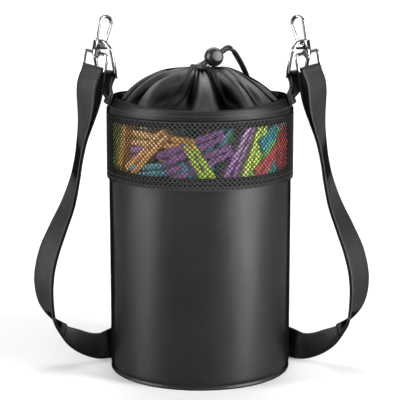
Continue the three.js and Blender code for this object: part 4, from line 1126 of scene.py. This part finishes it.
def hook_body(name):
    """The hook's wire, its slotted base with the rivet's hole, and the post under it."""
    middle = HOOK_STEM + HOOK_BEND
    wire = [(HOOK_STEM, 0, z) for z in np.linspace(4.2, HOOK_SHOULDER, 12)]
    wire += [(x, 0, z) for x, z in arc((middle, HOOK_SHOULDER), HOOK_BEND, math.pi, 0, 32)[1:]]
    bent = tube(name, wire, HOOK_WIRE, 24)
    foot_outline = [(-3.3, 4.65), (HOOK_STEM, 3.05), (PIVOT[0], 3.4)]
    foot_outline += arc(PIVOT, 3, -math.pi / 2 + 0.1, math.pi * 0.9, 16)
    foot_outline += [(4.4, 7.4), (-0.1, 7.4), (-0.1, 10.6), (-3.3, 10.6)]
    foot = plate(name + "_plate", foot_outline, HOOK_FOOT, 0.5)
    to_side = Matrix.Translation((PIVOT[0] * MM, 0, PIVOT[1] * MM)) @ Matrix.Rotation(math.pi / 2, 4, "X")
    gate_slot = lathe("gate_slot", [(GATE_SLOT, -GATE_SLOT_HALF), (GATE_SLOT, GATE_SLOT_HALF)], 40)
    pin_hole = lathe("pin_hole", [(PIN_HOLE, -6), (PIN_HOLE, 6)], 24)
    foot = creased(carved(foot, moved(gate_slot, to_side), moved(pin_hole, to_side)), 50)
    post_outline = [(2.3, -4.55), (2.6, -4.25), (2.6, -3.35), (2.3, -3.05), (1.6, -3.05), (1.6, 4.5)]
    return merged(name, bent, foot, creased(lathe(name + "_post", post_outline, 32)))


def hook_gate(name):
    """A flat finger that widens to a round hub with the rivet's hole."""
    neck = math.asin(GATE_HALF / GATE_HUB)
    outline = arc((0, 0), GATE_HUB, math.pi / 2 + neck, math.pi * 2.5 - neck, 28)
    outline += arc((0, GATE_REACH), GATE_HALF, 0, math.pi, 10)
    blade = plate(name, outline, GATE_THICK, 0.35)
    hole = moved(lathe("hole", [(PIN_HOLE, -6), (PIN_HOLE, 6)], 24), Matrix.Rotation(math.pi / 2, 4, "X"))
    blade = creased(carved(blade, hole), 50)
    at = Matrix.Translation((PIVOT[0] * MM, 0, PIVOT[1] * MM))
    return moved(blade, at @ Matrix.Rotation(GATE_LEAN, 4, "Y"))


def gate_leaf(name):
    """Strip of spring steel that rises from the base's slot and lies along the gate's inner edge."""
    def along(up, aside):
        return (
            PIVOT[0] + up * math.sin(GATE_LEAN) - aside * math.cos(GATE_LEAN),
            PIVOT[1] + up * math.cos(GATE_LEAN) + aside * math.sin(GATE_LEAN),
        )

    clear = GATE_HALF + FIT + LEAF
    foot = PIVOT[0] - GATE_HUB - FIT - LEAF / 2
    route = spline([
        (foot, PIVOT[1] - LEAF_FOOT), (foot, PIVOT[1] + 2 * FIT), along(LEAF_KNEE, clear + LEAF),
        along((LEAF_KNEE + LEAF_REACH) / 2, clear), along(LEAF_REACH, clear),
    ], np.linspace(0, 1, 33))
    way = directions(route)
    aside = np.stack([way[:, 1], -way[:, 0]], 1) * LEAF / 2
    return plate(name, [*map(tuple, route + aside), *map(tuple, (route - aside)[::-1])], LEAF_WIDTH, 0.02)


def swivel_eye(name):
    """A wire frame for the strap under a turned boss for the post."""
    loop_wire = wire_frame(name, rounded_frame(EYE_WIDTH, -EYE_DROP, 0, 1.5, 3), EYE_WIRE)
    boss_outline = [(2.2, -2.75), (3.1, -2.75), (3.5, -2.35), (3.5, 2.35), (3.1, 2.75), (2.2, 2.75)]
    return merged(name, loop_wire, creased(lathe(name + "_boss", boss_outline, 40)))


for side_name, (side, shift) in SIDES.items():
    hook_at = swivel_place(side, shift, HOOK_YAW)
    eye_at = swivel_place(side, shift, EYE_YAW)
    for piece, place, node, body in (
        (hook_body("hook_chrome_" + side_name), hook_at, "hook_body_", "hook_" + side_name),
        (hook_gate("gate_chrome_" + side_name), hook_at, "hook_gate_", "gate_" + side_name),
        (swivel_eye("eye_chrome_" + side_name), eye_at, "swivel_eye_", "bag"),
    ):
        moved(piece, place)
        piece.data.materials.clear()
        piece.data.materials.append(chrome)
        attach(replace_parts(piece, node + side_name), body)
    leaf = moved(gate_leaf("gate_leaf_" + side_name), hook_at)
    leaf.data.materials.append(steel)
    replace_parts(leaf, "gate_spring_" + side_name)
    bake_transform(leaf)
    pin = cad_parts["gate_pin_" + side_name]
    pin.data.materials.clear()
    pin.data.materials.append(steel)

# Side rings
# Chromed wire rings with a straight bar below, held in the tabs' folds and resting in the hooks' saddles.
RING_HEIGHT = 29.5
RING_WIDTH = 24.2
RING_WIRE = 1.7
RING_CORNER = 3.0
RING_LEAN = math.radians(12)
HOOK_SADDLE = (2.9, 10.2)
MIRROR = np.array([-1.0, 1.0, 1.0])
ring_bar = np.array([math.sin(math.radians(HOOK_YAW)), -math.cos(math.radians(HOOK_YAW)), 0])
ring_out = np.array([-math.cos(math.radians(HOOK_YAW)), -math.sin(math.radians(HOOK_YAW)), 0])
ring_up = ring_out * math.sin(RING_LEAN) + np.array([0, 0, math.cos(RING_LEAN)])


def ring_foot(shift):
    """Middle of a ring's lower bar, worked out as on the left."""
    saddle = Vector((HOOK_SADDLE[0] * MM, 0, HOOK_SADDLE[1] * MM))
    return np.array(swivel_place(-1, shift, HOOK_YAW) @ saddle) / MM - ring_up * RING_HEIGHT


for side_name, (side, shift) in SIDES.items():
    turn = MIRROR if side > 0 else 1
    across, up = ring_bar * turn * -side, ring_up * turn
    basis = np.eye(4)
    basis[:3, :3] = np.stack([across, np.cross(up, across), up], 1)
    basis[:3, 3] = ring_foot(shift) * turn * MM
    ring_outline = rounded_frame(RING_WIDTH, 0, RING_HEIGHT, RING_CORNER, RING_WIDTH / 2)
    ring = wire_frame("ring_chrome_" + side_name, ring_outline, RING_WIRE)
    moved(ring, Matrix(basis.tolist()))
    ring.data.materials.append(chrome)
    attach(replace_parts(ring, "d_ring_" + side_name), "ring_" + side_name)

# Side tabs
# Doubled lengths of black webbing sewn to the outside of the rim, given a quarter twist above it
# and turned over a ring's bar.
TAB_WIDTH = 18.0
TAB_LAP = 6.5
WEBBING = 1.4
TAB_WEBBING = 1.8
TAB_PITCH = TAB_WEBBING + 0.1
TAB_OFF = 2.45
TAB_TURN = math.radians(12)
TAB_OUT = np.array([-math.cos(TAB_TURN), -math.sin(TAB_TURN), 0])
TAB_ACROSS = np.array([TAB_OUT[1], -TAB_OUT[0], 0])
TAB_EDGE = TAB_OUT * (RIM_OUT - RIM_PULL + TAB_OFF) + [0, 0, RIM_AT_TAB + FIT]
TAB_SLOPE = RIM_PULL / (RIM_TOP - RIM_LOW + RIM_RISE)
TAB_LOW = TAB_EDGE + TAB_OUT * TAB_SLOPE * TAB_LAP - [0, 0, TAB_LAP + FIT]
TAB_SEAM_SIDE = 7.5
TAB_SEAM_HIGH = 0.6
TAB_SEAM_LOW = 6.2
STITCH_PROUD = 0.1
SELVEDGE_THINNING = 0.45
webbing = cloth(
    "webbing", (0.0022, 0.0022, 0.0024), roughness=0.36, pitch=0.0011, stretch=1.9, depth=0.00025, shine=0.21,
    sheen_contrast=0.3,
)


def squared(at, across):
    """Directions across and out of webbing, squared to the way it runs."""
    ends = np.vstack([at[:1], at, at[-1:]])
    along = unit(ends[2:] - ends[:-2])
    side = unit(across - along * np.sum(across * along, 1, keepdims=True))
    return side, np.cross(along, side)


def ribbon(name, at, across, face, width, thickness):
    """Webbing along points in millimetres, with rounded selvedges and UVs along and across it.
    Gives the piece and its length in metres."""
    share = np.linspace(-1, 1, 15)
    half = 0.5 * thickness * (1 - SELVEDGE_THINNING * np.abs(share) ** 10)
    section = np.concatenate([np.stack([share, half], 1), np.stack([share[::-1], -half[::-1]], 1)])
    sideways = across[:, None] * section[None, :, :1] * width / 2
    vertices = at[:, None] + sideways + face[:, None] * section[None, :, 1:]
    run = run_along(at)
    count = len(section)
    faces = [
        (i * count + j, (i + 1) * count + j, (i + 1) * count + (j + 1) % count, i * count + (j + 1) % count)
        for i in range(len(at) - 1) for j in range(count)
    ]
    faces += [tuple(range(count)), tuple((len(at) - 1) * count + j for j in range(count - 1, -1, -1))]
    uv = flat_map(run[:, None], section[:, 0] * width / 2)
    made = mesh_object(name, vertices.reshape(-1, 3) * MM, faces, uv)
    made.data.materials.append(webbing)
    return made, float(run[-1]) * MM


def tab_stations(foot):
    """Points and width directions of a tab, worked out as on the left."""
    turn = RING_WIRE + FIT + WEBBING / 2
    up, over = np.array([0, 0, 1.0]), -ring_bar
    share = np.linspace(0, 1, 25)[:, None]
    ease = share * share * (3 - 2 * share)
    lap = np.linspace(1, 0, 7)[:-1, None]
    rise = TAB_EDGE + (foot - up * turn - TAB_EDGE) * share
    middle = np.vstack([TAB_EDGE + (TAB_LOW - TAB_EDGE) * lap, rise])
    across = TAB_ACROSS * np.vstack([np.ones_like(lap), 1 - ease]) + over * np.vstack([0 * lap, ease])
    side, face = squared(middle, across)
    apart = TAB_PITCH + (2 * turn - TAB_PITCH) * np.vstack([0 * lap, share ** 3])
    angle = np.linspace(0, math.pi, 25)[:, None]
    fold = foot + ring_out * turn * np.cos(angle) + up * turn * np.sin(angle)
    at = np.vstack([middle + face * apart / 2, fold, (middle - face * apart / 2)[::-1]])
    return at, np.vstack([side, np.tile(over, (len(fold), 1)), side[::-1]])


lap_way = unit(TAB_LOW - TAB_EDGE)
lap_face = unit(np.cross(TAB_ACROSS, lap_way))
lap_at = TAB_EDGE + lap_face * ((TAB_PITCH + TAB_WEBBING) / 2 + STITCH_PROUD)
box = [(y, down) for down in (TAB_SEAM_HIGH, TAB_SEAM_LOW) for y in (-TAB_SEAM_SIDE, TAB_SEAM_SIDE)]
box_and_cross = [[box[i] for i in corners] for corners in ((0, 1, 3, 2, 0, 3), (1, 2))]
for side_name, (side, shift) in SIDES.items():
    at, over = tab_stations(ring_foot(shift))
    if side > 0:
        at, over = (at * MIRROR)[::-1], (over * MIRROR)[::-1]
    tab, length = ribbon("side_tab_webbing_" + side_name, at, *squared(at, over), TAB_WIDTH, TAB_WEBBING)
    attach(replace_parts(tab, "side_tab_" + side_name), "bag")
    sewn = [[lap_at + lap_way * down + TAB_ACROSS * y for y, down in run] for run in box_and_cross]
    sewn = [[p * MIRROR if side > 0 else p for p in run] for run in sewn]
    stitches("side_tab_stitches_" + side_name, sewn, "bag", spacing=2.2, length=1.6)

# Shoulder strap
# One length of 25 mm webbing, turned over both eyes' lower bars with its ends laid back along its inner face.
# It hangs out beside the bag and runs on edge behind it, through the slider.
STRAP_WIDTH = 25.0
STRAP_SIDE = 12.8
STRAP_LOW = 15.5
# Beside the bag: distance out from the wall, distance back, share of the way up to the eye,
# and the direction across the webbing
STRAP_DROP = [
    [16.2, -6, 0.91, 0.68, -0.72, -0.1], [20.3, -4, 0.823, 0.5, -0.86, 0], [24.3, -2, 0.751, 0.34, -0.94, 0],
    [27.6, 0, 0.68, 0.28, -0.96, 0], [31, 2, 0.612, 0.33, -0.94, 0], [37.4, 4, 0.525, 0.48, -0.87, 0],
    [47, 6, 0.434, 0.62, -0.78, 0], [56, 7.5, 0.343, 0.72, -0.69, 0], [60.6, 8, 0.255, 0.72, -0.69, 0],
    [59.6, 7, 0.176, 0.62, -0.78, 0], [53.5, 5, 0.114, 0.42, -0.88, -0.2],
    [46.5, 4, 0.078, 0.28, -0.9, -0.32], [38, 5.5, 0.045, 0.2, -0.82, -0.53],
    [29, 8.5, 0.022, 0.15, -0.72, -0.68], [20.5, 12, 0.005, 0.15, -0.66, -0.74],
    [12.5, 16, -0.0045, 0.1, -0.62, -0.78], [5.5, 19.5, -0.005, 0.1, -0.55, -0.83],
    [1.5, 25, -0.001, 0.1, -0.3, -0.95],
]
# Round the back: degrees from the side, distance out from the wall, share of the rise to the straight run
STRAP_BACK = [[25, 6, 0.1], [33, 6.2, 0.35], [41, 6.8, 0.7], [50, 7.8, 1]]
# Into the straight run behind the bag: distance before it and distance inwards of it
STRAP_EASE = [[14, 5.8], [6, 0.8], [0, 0]]
STRAIGHT_HALF = 30.0
STRAIGHT_OUT = 7.0
STRAP_STEPS = 224
RETURN_SHARE = 0.5
RETURN_CLOSED = 0.11
SLACK = 4.2
SLACK_AT = 0.028


def strap_half(shift):
    """Outer run with its fold over the eye, and the returned end, worked out as on the left."""
    eye = np.array(swivel_place(-1, shift, EYE_YAW))
    side, front, up = eye[:3, 0], -eye[:3, 1], eye[:3, 2]
    bar = eye[:3, 3] / MM - up * EYE_DROP
    turn = EYE_WIRE + FIT + WEBBING / 2
    rows = [(bar + front * turn, side)]
    for out, back, share, *over in STRAP_DROP:
        at = [-WALL - out - shift, back, STRAP_SIDE + share * (bar[2] - STRAP_SIDE)]
        rows.append((np.array(at), np.array(over)))
    on_edge = np.array([0, 0, -1.0])
    for degrees, out, rise in STRAP_BACK:
        a = math.radians(degrees)
        height = STRAP_SIDE + rise * (STRAP_LOW - STRAP_SIDE)
        rows.append((np.array([-(WALL + out) * math.cos(a), (WALL + out) * math.sin(a), height]), on_edge))
    for short, inward in STRAP_EASE:
        rows.append((np.array([-STRAIGHT_HALF - short, WALL + STRAIGHT_OUT - inward, STRAP_LOW]), on_edge))
    shares = np.linspace(0, 1, STRAP_STEPS + 1)
    at = spline([row[0] for row in rows], shares)
    over = unit(spline([row[1] for row in rows], shares))
    angle = np.linspace(math.pi, 0, 25)[:-1, None]
    fold = bar + front * turn * np.cos(angle) + up * turn * np.sin(angle)
    sides, faces = squared(at, over)
    returned = slice(0, round(RETURN_SHARE * STRAP_STEPS) + 1)
    joined = np.minimum(1, shares[returned] / RETURN_CLOSED)
    apart = 2 * turn + (WEBBING + FIT - 2 * turn) * (joined * joined * (3 - 2 * joined))
    back_at = at[returned] - faces[returned] * apart[:, None]
    back_at[0] -= up * 4 * FIT
    slack = shares[:, None] / SLACK_AT
    at = at + faces * SLACK * slack ** 2 * np.exp(2 - 2 * slack)
    over = np.vstack([np.tile(side, (len(fold), 1)), over])
    return np.vstack([fold, at]), over, back_at, sides[returned], faces[returned]


strap_at, strap_over = [], []
for side_name, (side, shift) in SIDES.items():
    rows = strap_half(shift)
    if side > 0:
        rows = [(row * MIRROR)[::-1] for row in rows]
    at, over, *returned = rows
    strap_at.append(at)
    strap_over.append(over)
    piece, length = ribbon("strap_return_webbing_" + side_name, *returned, STRAP_WIDTH, WEBBING)
    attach(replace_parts(piece, "strap_return_" + side_name), "bag")
strap_at, strap_over = np.vstack(strap_at), np.vstack(strap_over)
strap_sides = squared(strap_at, strap_over)
strap, length = ribbon("shoulder_strap_webbing", strap_at, *strap_sides, STRAP_WIDTH, WEBBING)
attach(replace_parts(strap, "shoulder_strap"), "bag")

# Strap slider
# A moulded plastic slider with three bars, on the strap behind the bag.
# The webbing runs through it, and its place on the strap sets the strap's length.
SLIDER_EDGE = 0.4
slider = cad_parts["strap_slider"]
slider.data.materials.clear()
slider.data.materials.append(plastic("slider_plastic", (0.006, 0.006, 0.0066), roughness=0.45))
rounding = slider.modifiers.new("edge", "BEVEL")
rounding.width = SLIDER_EDGE * MM
rounding.segments = 3
rounding.limit_method = "ANGLE"

# Clothes pegs
# Moulded plastic pegs in seven colours, two arms each, held together by a coiled steel spring.
# They lie as tipped in, some against the netting and the rest in the heap behind.
PEG_FLOOR = 176.3
PEG_RINGS = [share * LINING_IN for share in (0.866, 0.728, 0.59)]
PEG_COLOURS = {
    "lime": (0.33, 0.45, 0.024), "green": (0.09, 0.3, 0.035), "orange": (0.57, 0.27, 0.034),
    "purple": (0.23, 0.08, 0.26), "teal": (0.014, 0.21, 0.25), "blue": (0.03, 0.13, 0.32),
    "red": (0.39, 0.035, 0.04),
}
# Ring, degrees from the front towards +X, lean along the wall in degrees, colour
PEGS = [
    (0, -72, 24, "orange"), (0, -40, 48, "orange"), (0, 0, 66, "purple"), (0, 31, 28, "purple"),
    (0, 62, 20, "lime"), (0, 100, -40, "red"), (0, 150, 58, "teal"), (0, 200, -30, "blue"),
    (0, 240, 40, "green"), (1, -58, -20, "lime"), (1, -37, -32, "orange"), (1, 18, -26, "lime"),
    (1, 53, 16, "green"), (1, 88, 40, "blue"), (1, 125, -24, "red"), (1, 171, 28, "orange"),
    (1, 225, -23, "purple"), (2, -24, 19, "teal"), (2, 15, -25, "red"), (2, 170, 45, "lime"),
]
PEG_HALF_WIDTH = 6.0
PEG_HALF_LENGTH = 29.0
PEG_DEPTH = 8.8
PEG_EDGE = 0.8
PEG_COIL = 2.7
PEG_COIL_HEIGHT = 3.0
PEG_COIL_ASIDE = 4.15
PEG_WIRE = 0.45
# One arm's corners, as shares of a peg's half width and half length
PEG_ARM = [(0.5, 1), (0.7, 0.69), (0.75, 0), (1, -1), (0.5, -1), (0.1, -0.138)]
# One arm's outline in millimetres, from its tip down the outside and up along the jaws
PEG_OUTLINE = [
    (0.2, 29), (3.4, 29), (4.4, 27.4), (5.4, 19), (5.8, 9), (5.6, 0), (6.3, -14), (6.6, -27), (6.1, -28.7),
    (1.4, -29), (1.0, -27.5), (0.4, -5), (0.2, 2), (1.0, 5), (1.0, 8), (0.2, 11), (0.5, 17), (0.5, 22),
    (0.2, 25),
]
peg_plastics = {}
for name, colour in PEG_COLOURS.items():
    peg_plastics[name] = plastic("peg_" + name, colour, roughness=0.36, grain=700.0)


def peg_piece(name):
    """A peg standing on its handles, centred, in metres."""
    arms = [
        plate(name + "_arm", [(x * way, z) for x, z in PEG_OUTLINE][::way], PEG_DEPTH, PEG_EDGE)
        for way in (1, -1)
    ]
    coil = arc((0, PEG_COIL_HEIGHT), PEG_COIL, 0, 2 * math.pi, 25)[:-1]
    wires = [
        tube(name + "_wire", [(x, y, z) for x, z in coil], PEG_WIRE, 6, closed=True)
        for y in (-PEG_COIL_ASIDE, PEG_COIL_ASIDE)
    ]
    return merged(name, *arms, *wires)


def peg_place(ring, degrees, lean):
    """Place of a peg that stands on the fill, leaning along the wall."""
    angle, tilt = math.radians(degrees), math.radians(lean)
    corners = [(x * way * PEG_HALF_WIDTH, z * PEG_HALF_LENGTH) for x, z in PEG_ARM for way in (1, -1)]
    lowest = min(z * math.cos(tilt) - x * math.sin(tilt) for x, z in corners)
    at = Vector((ring * math.sin(angle), -ring * math.cos(angle), PEG_FLOOR - lowest)) * MM
    return Matrix.Translation(at) @ Matrix.Rotation(angle, 4, "Z") @ Matrix.Rotation(tilt, 4, "Y")


def peg_copy(name, place, colour):
    """A copy of the first peg, in its own place and colour."""
    piece = bpy.data.objects.new(name, first_peg.data.copy())
    collection.objects.link(piece)
    moved(piece, place)
    piece.data.materials.clear()
    piece.data.materials.append(peg_plastics[colour])
    return piece


first_peg = peg_piece("peg_pattern")
for number, (ring, degrees, lean, colour) in enumerate(PEGS, 1):
    name = f"peg_{number:02d}"
    piece = peg_copy(name + "_plastic", peg_place(PEG_RINGS[ring], degrees, lean), colour)
    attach(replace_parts(piece, name), "bag")

# Peg heap
# The rest of the pegs. Those at the netting come first, then the jumble that shows between and behind them,
# on a core painted near-black as shade, in place of the pegs that are never seen.
# Distance from the bag's middle, degrees from the front towards +X, height, lean from upright, colour
PLACED = [
    (56, -54, 203, 28, "lime"), (63, -32, 186, 81, "teal"), (66, -27, 211, 93, "orange"),
    (69, -6, 207, 66, "purple"), (64, 8, 201, 32, "teal"), (69.5, 3, 186, -30, "lime"),
    (70, 40, 204, 22, "lime"), (67.5, 51, 201, 42, "green"), (69, 62, 217, 66, "teal"),
    (66, 88, 219, 84, "red"), (68.5, 58, 194, 63, "red"), (68, 84, 200, 71, "red"),
    (65, 79, 189, 78, "teal"), (71, -89, 205, 5, "lime"), (68, -100, 204, -22, "teal"),
    (71, 90, 205, 5, "red"), (68, 112, 204, -20, "lime"), (68, 130, 204, 25, "teal"),
    (66, 152, 196, 64, "lime"), (68, 185, 204, 26, "purple"), (66, 215, 194, -62, "orange"),
    (68, 240, 204, -20, "blue"),
]
CORE_OUTLINE = [(75, 4), (75, 171), (66, 176), (50, 196), (30, 208), (4, 210)]
JUMBLE_COUNT = 24
JUMBLE_RINGS = (56, 44)
JUMBLE_HEIGHT = 190
JUMBLE_STEP = 0.381966
heap_shade_core = lathe("peg_heap", CORE_OUTLINE, 96)
# The core's near-black is painted shade, standing in for the shaded pegs deep in the heap
heap_shade_core.data.materials.append(plastic("heap_shade_core", (0.008, 0.008, 0.008), roughness=0.8, shine=0.1))
heap = [heap_shade_core]


def heap_peg(ring, angle, height, lean, nod, colour):
    """Adds a peg to the heap: turned about the axis, then leaned along the wall and nodded out of it."""
    at = Vector((ring * math.sin(angle), -ring * math.cos(angle), height)) * MM
    tilt = Matrix.Rotation(angle, 4, "Z") @ Matrix.Rotation(lean, 4, "Y") @ Matrix.Rotation(nod, 4, "X")
    heap.append(peg_copy(f"heap_peg_{len(heap)}", Matrix.Translation(at) @ tilt, colour))


for ring, degrees, height, lean, colour in PLACED:
    heap_peg(ring, math.radians(degrees), height, math.radians(lean), 0, colour)
chance = np.random.default_rng(7)
names = list(PEG_COLOURS)
for number in range(JUMBLE_COUNT):
    ring = JUMBLE_RINGS[number % 2] - chance.uniform(0, 4)
    angle = 2 * math.pi * (number * JUMBLE_STEP + 0.02 * chance.uniform(-1, 1))
    height = JUMBLE_HEIGHT + chance.uniform(-4, 16)
    lean = chance.uniform(0.7, 2.4)
    nod = chance.uniform(-0.25, 0.25)
    heap_peg(ring, angle, height, lean, nod, names[int(chance.integers(len(names)))])
heap = merged("peg_heap", *heap)
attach(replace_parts(heap, "peg_fill"), "bag")
bpy.data.objects.remove(first_peg)
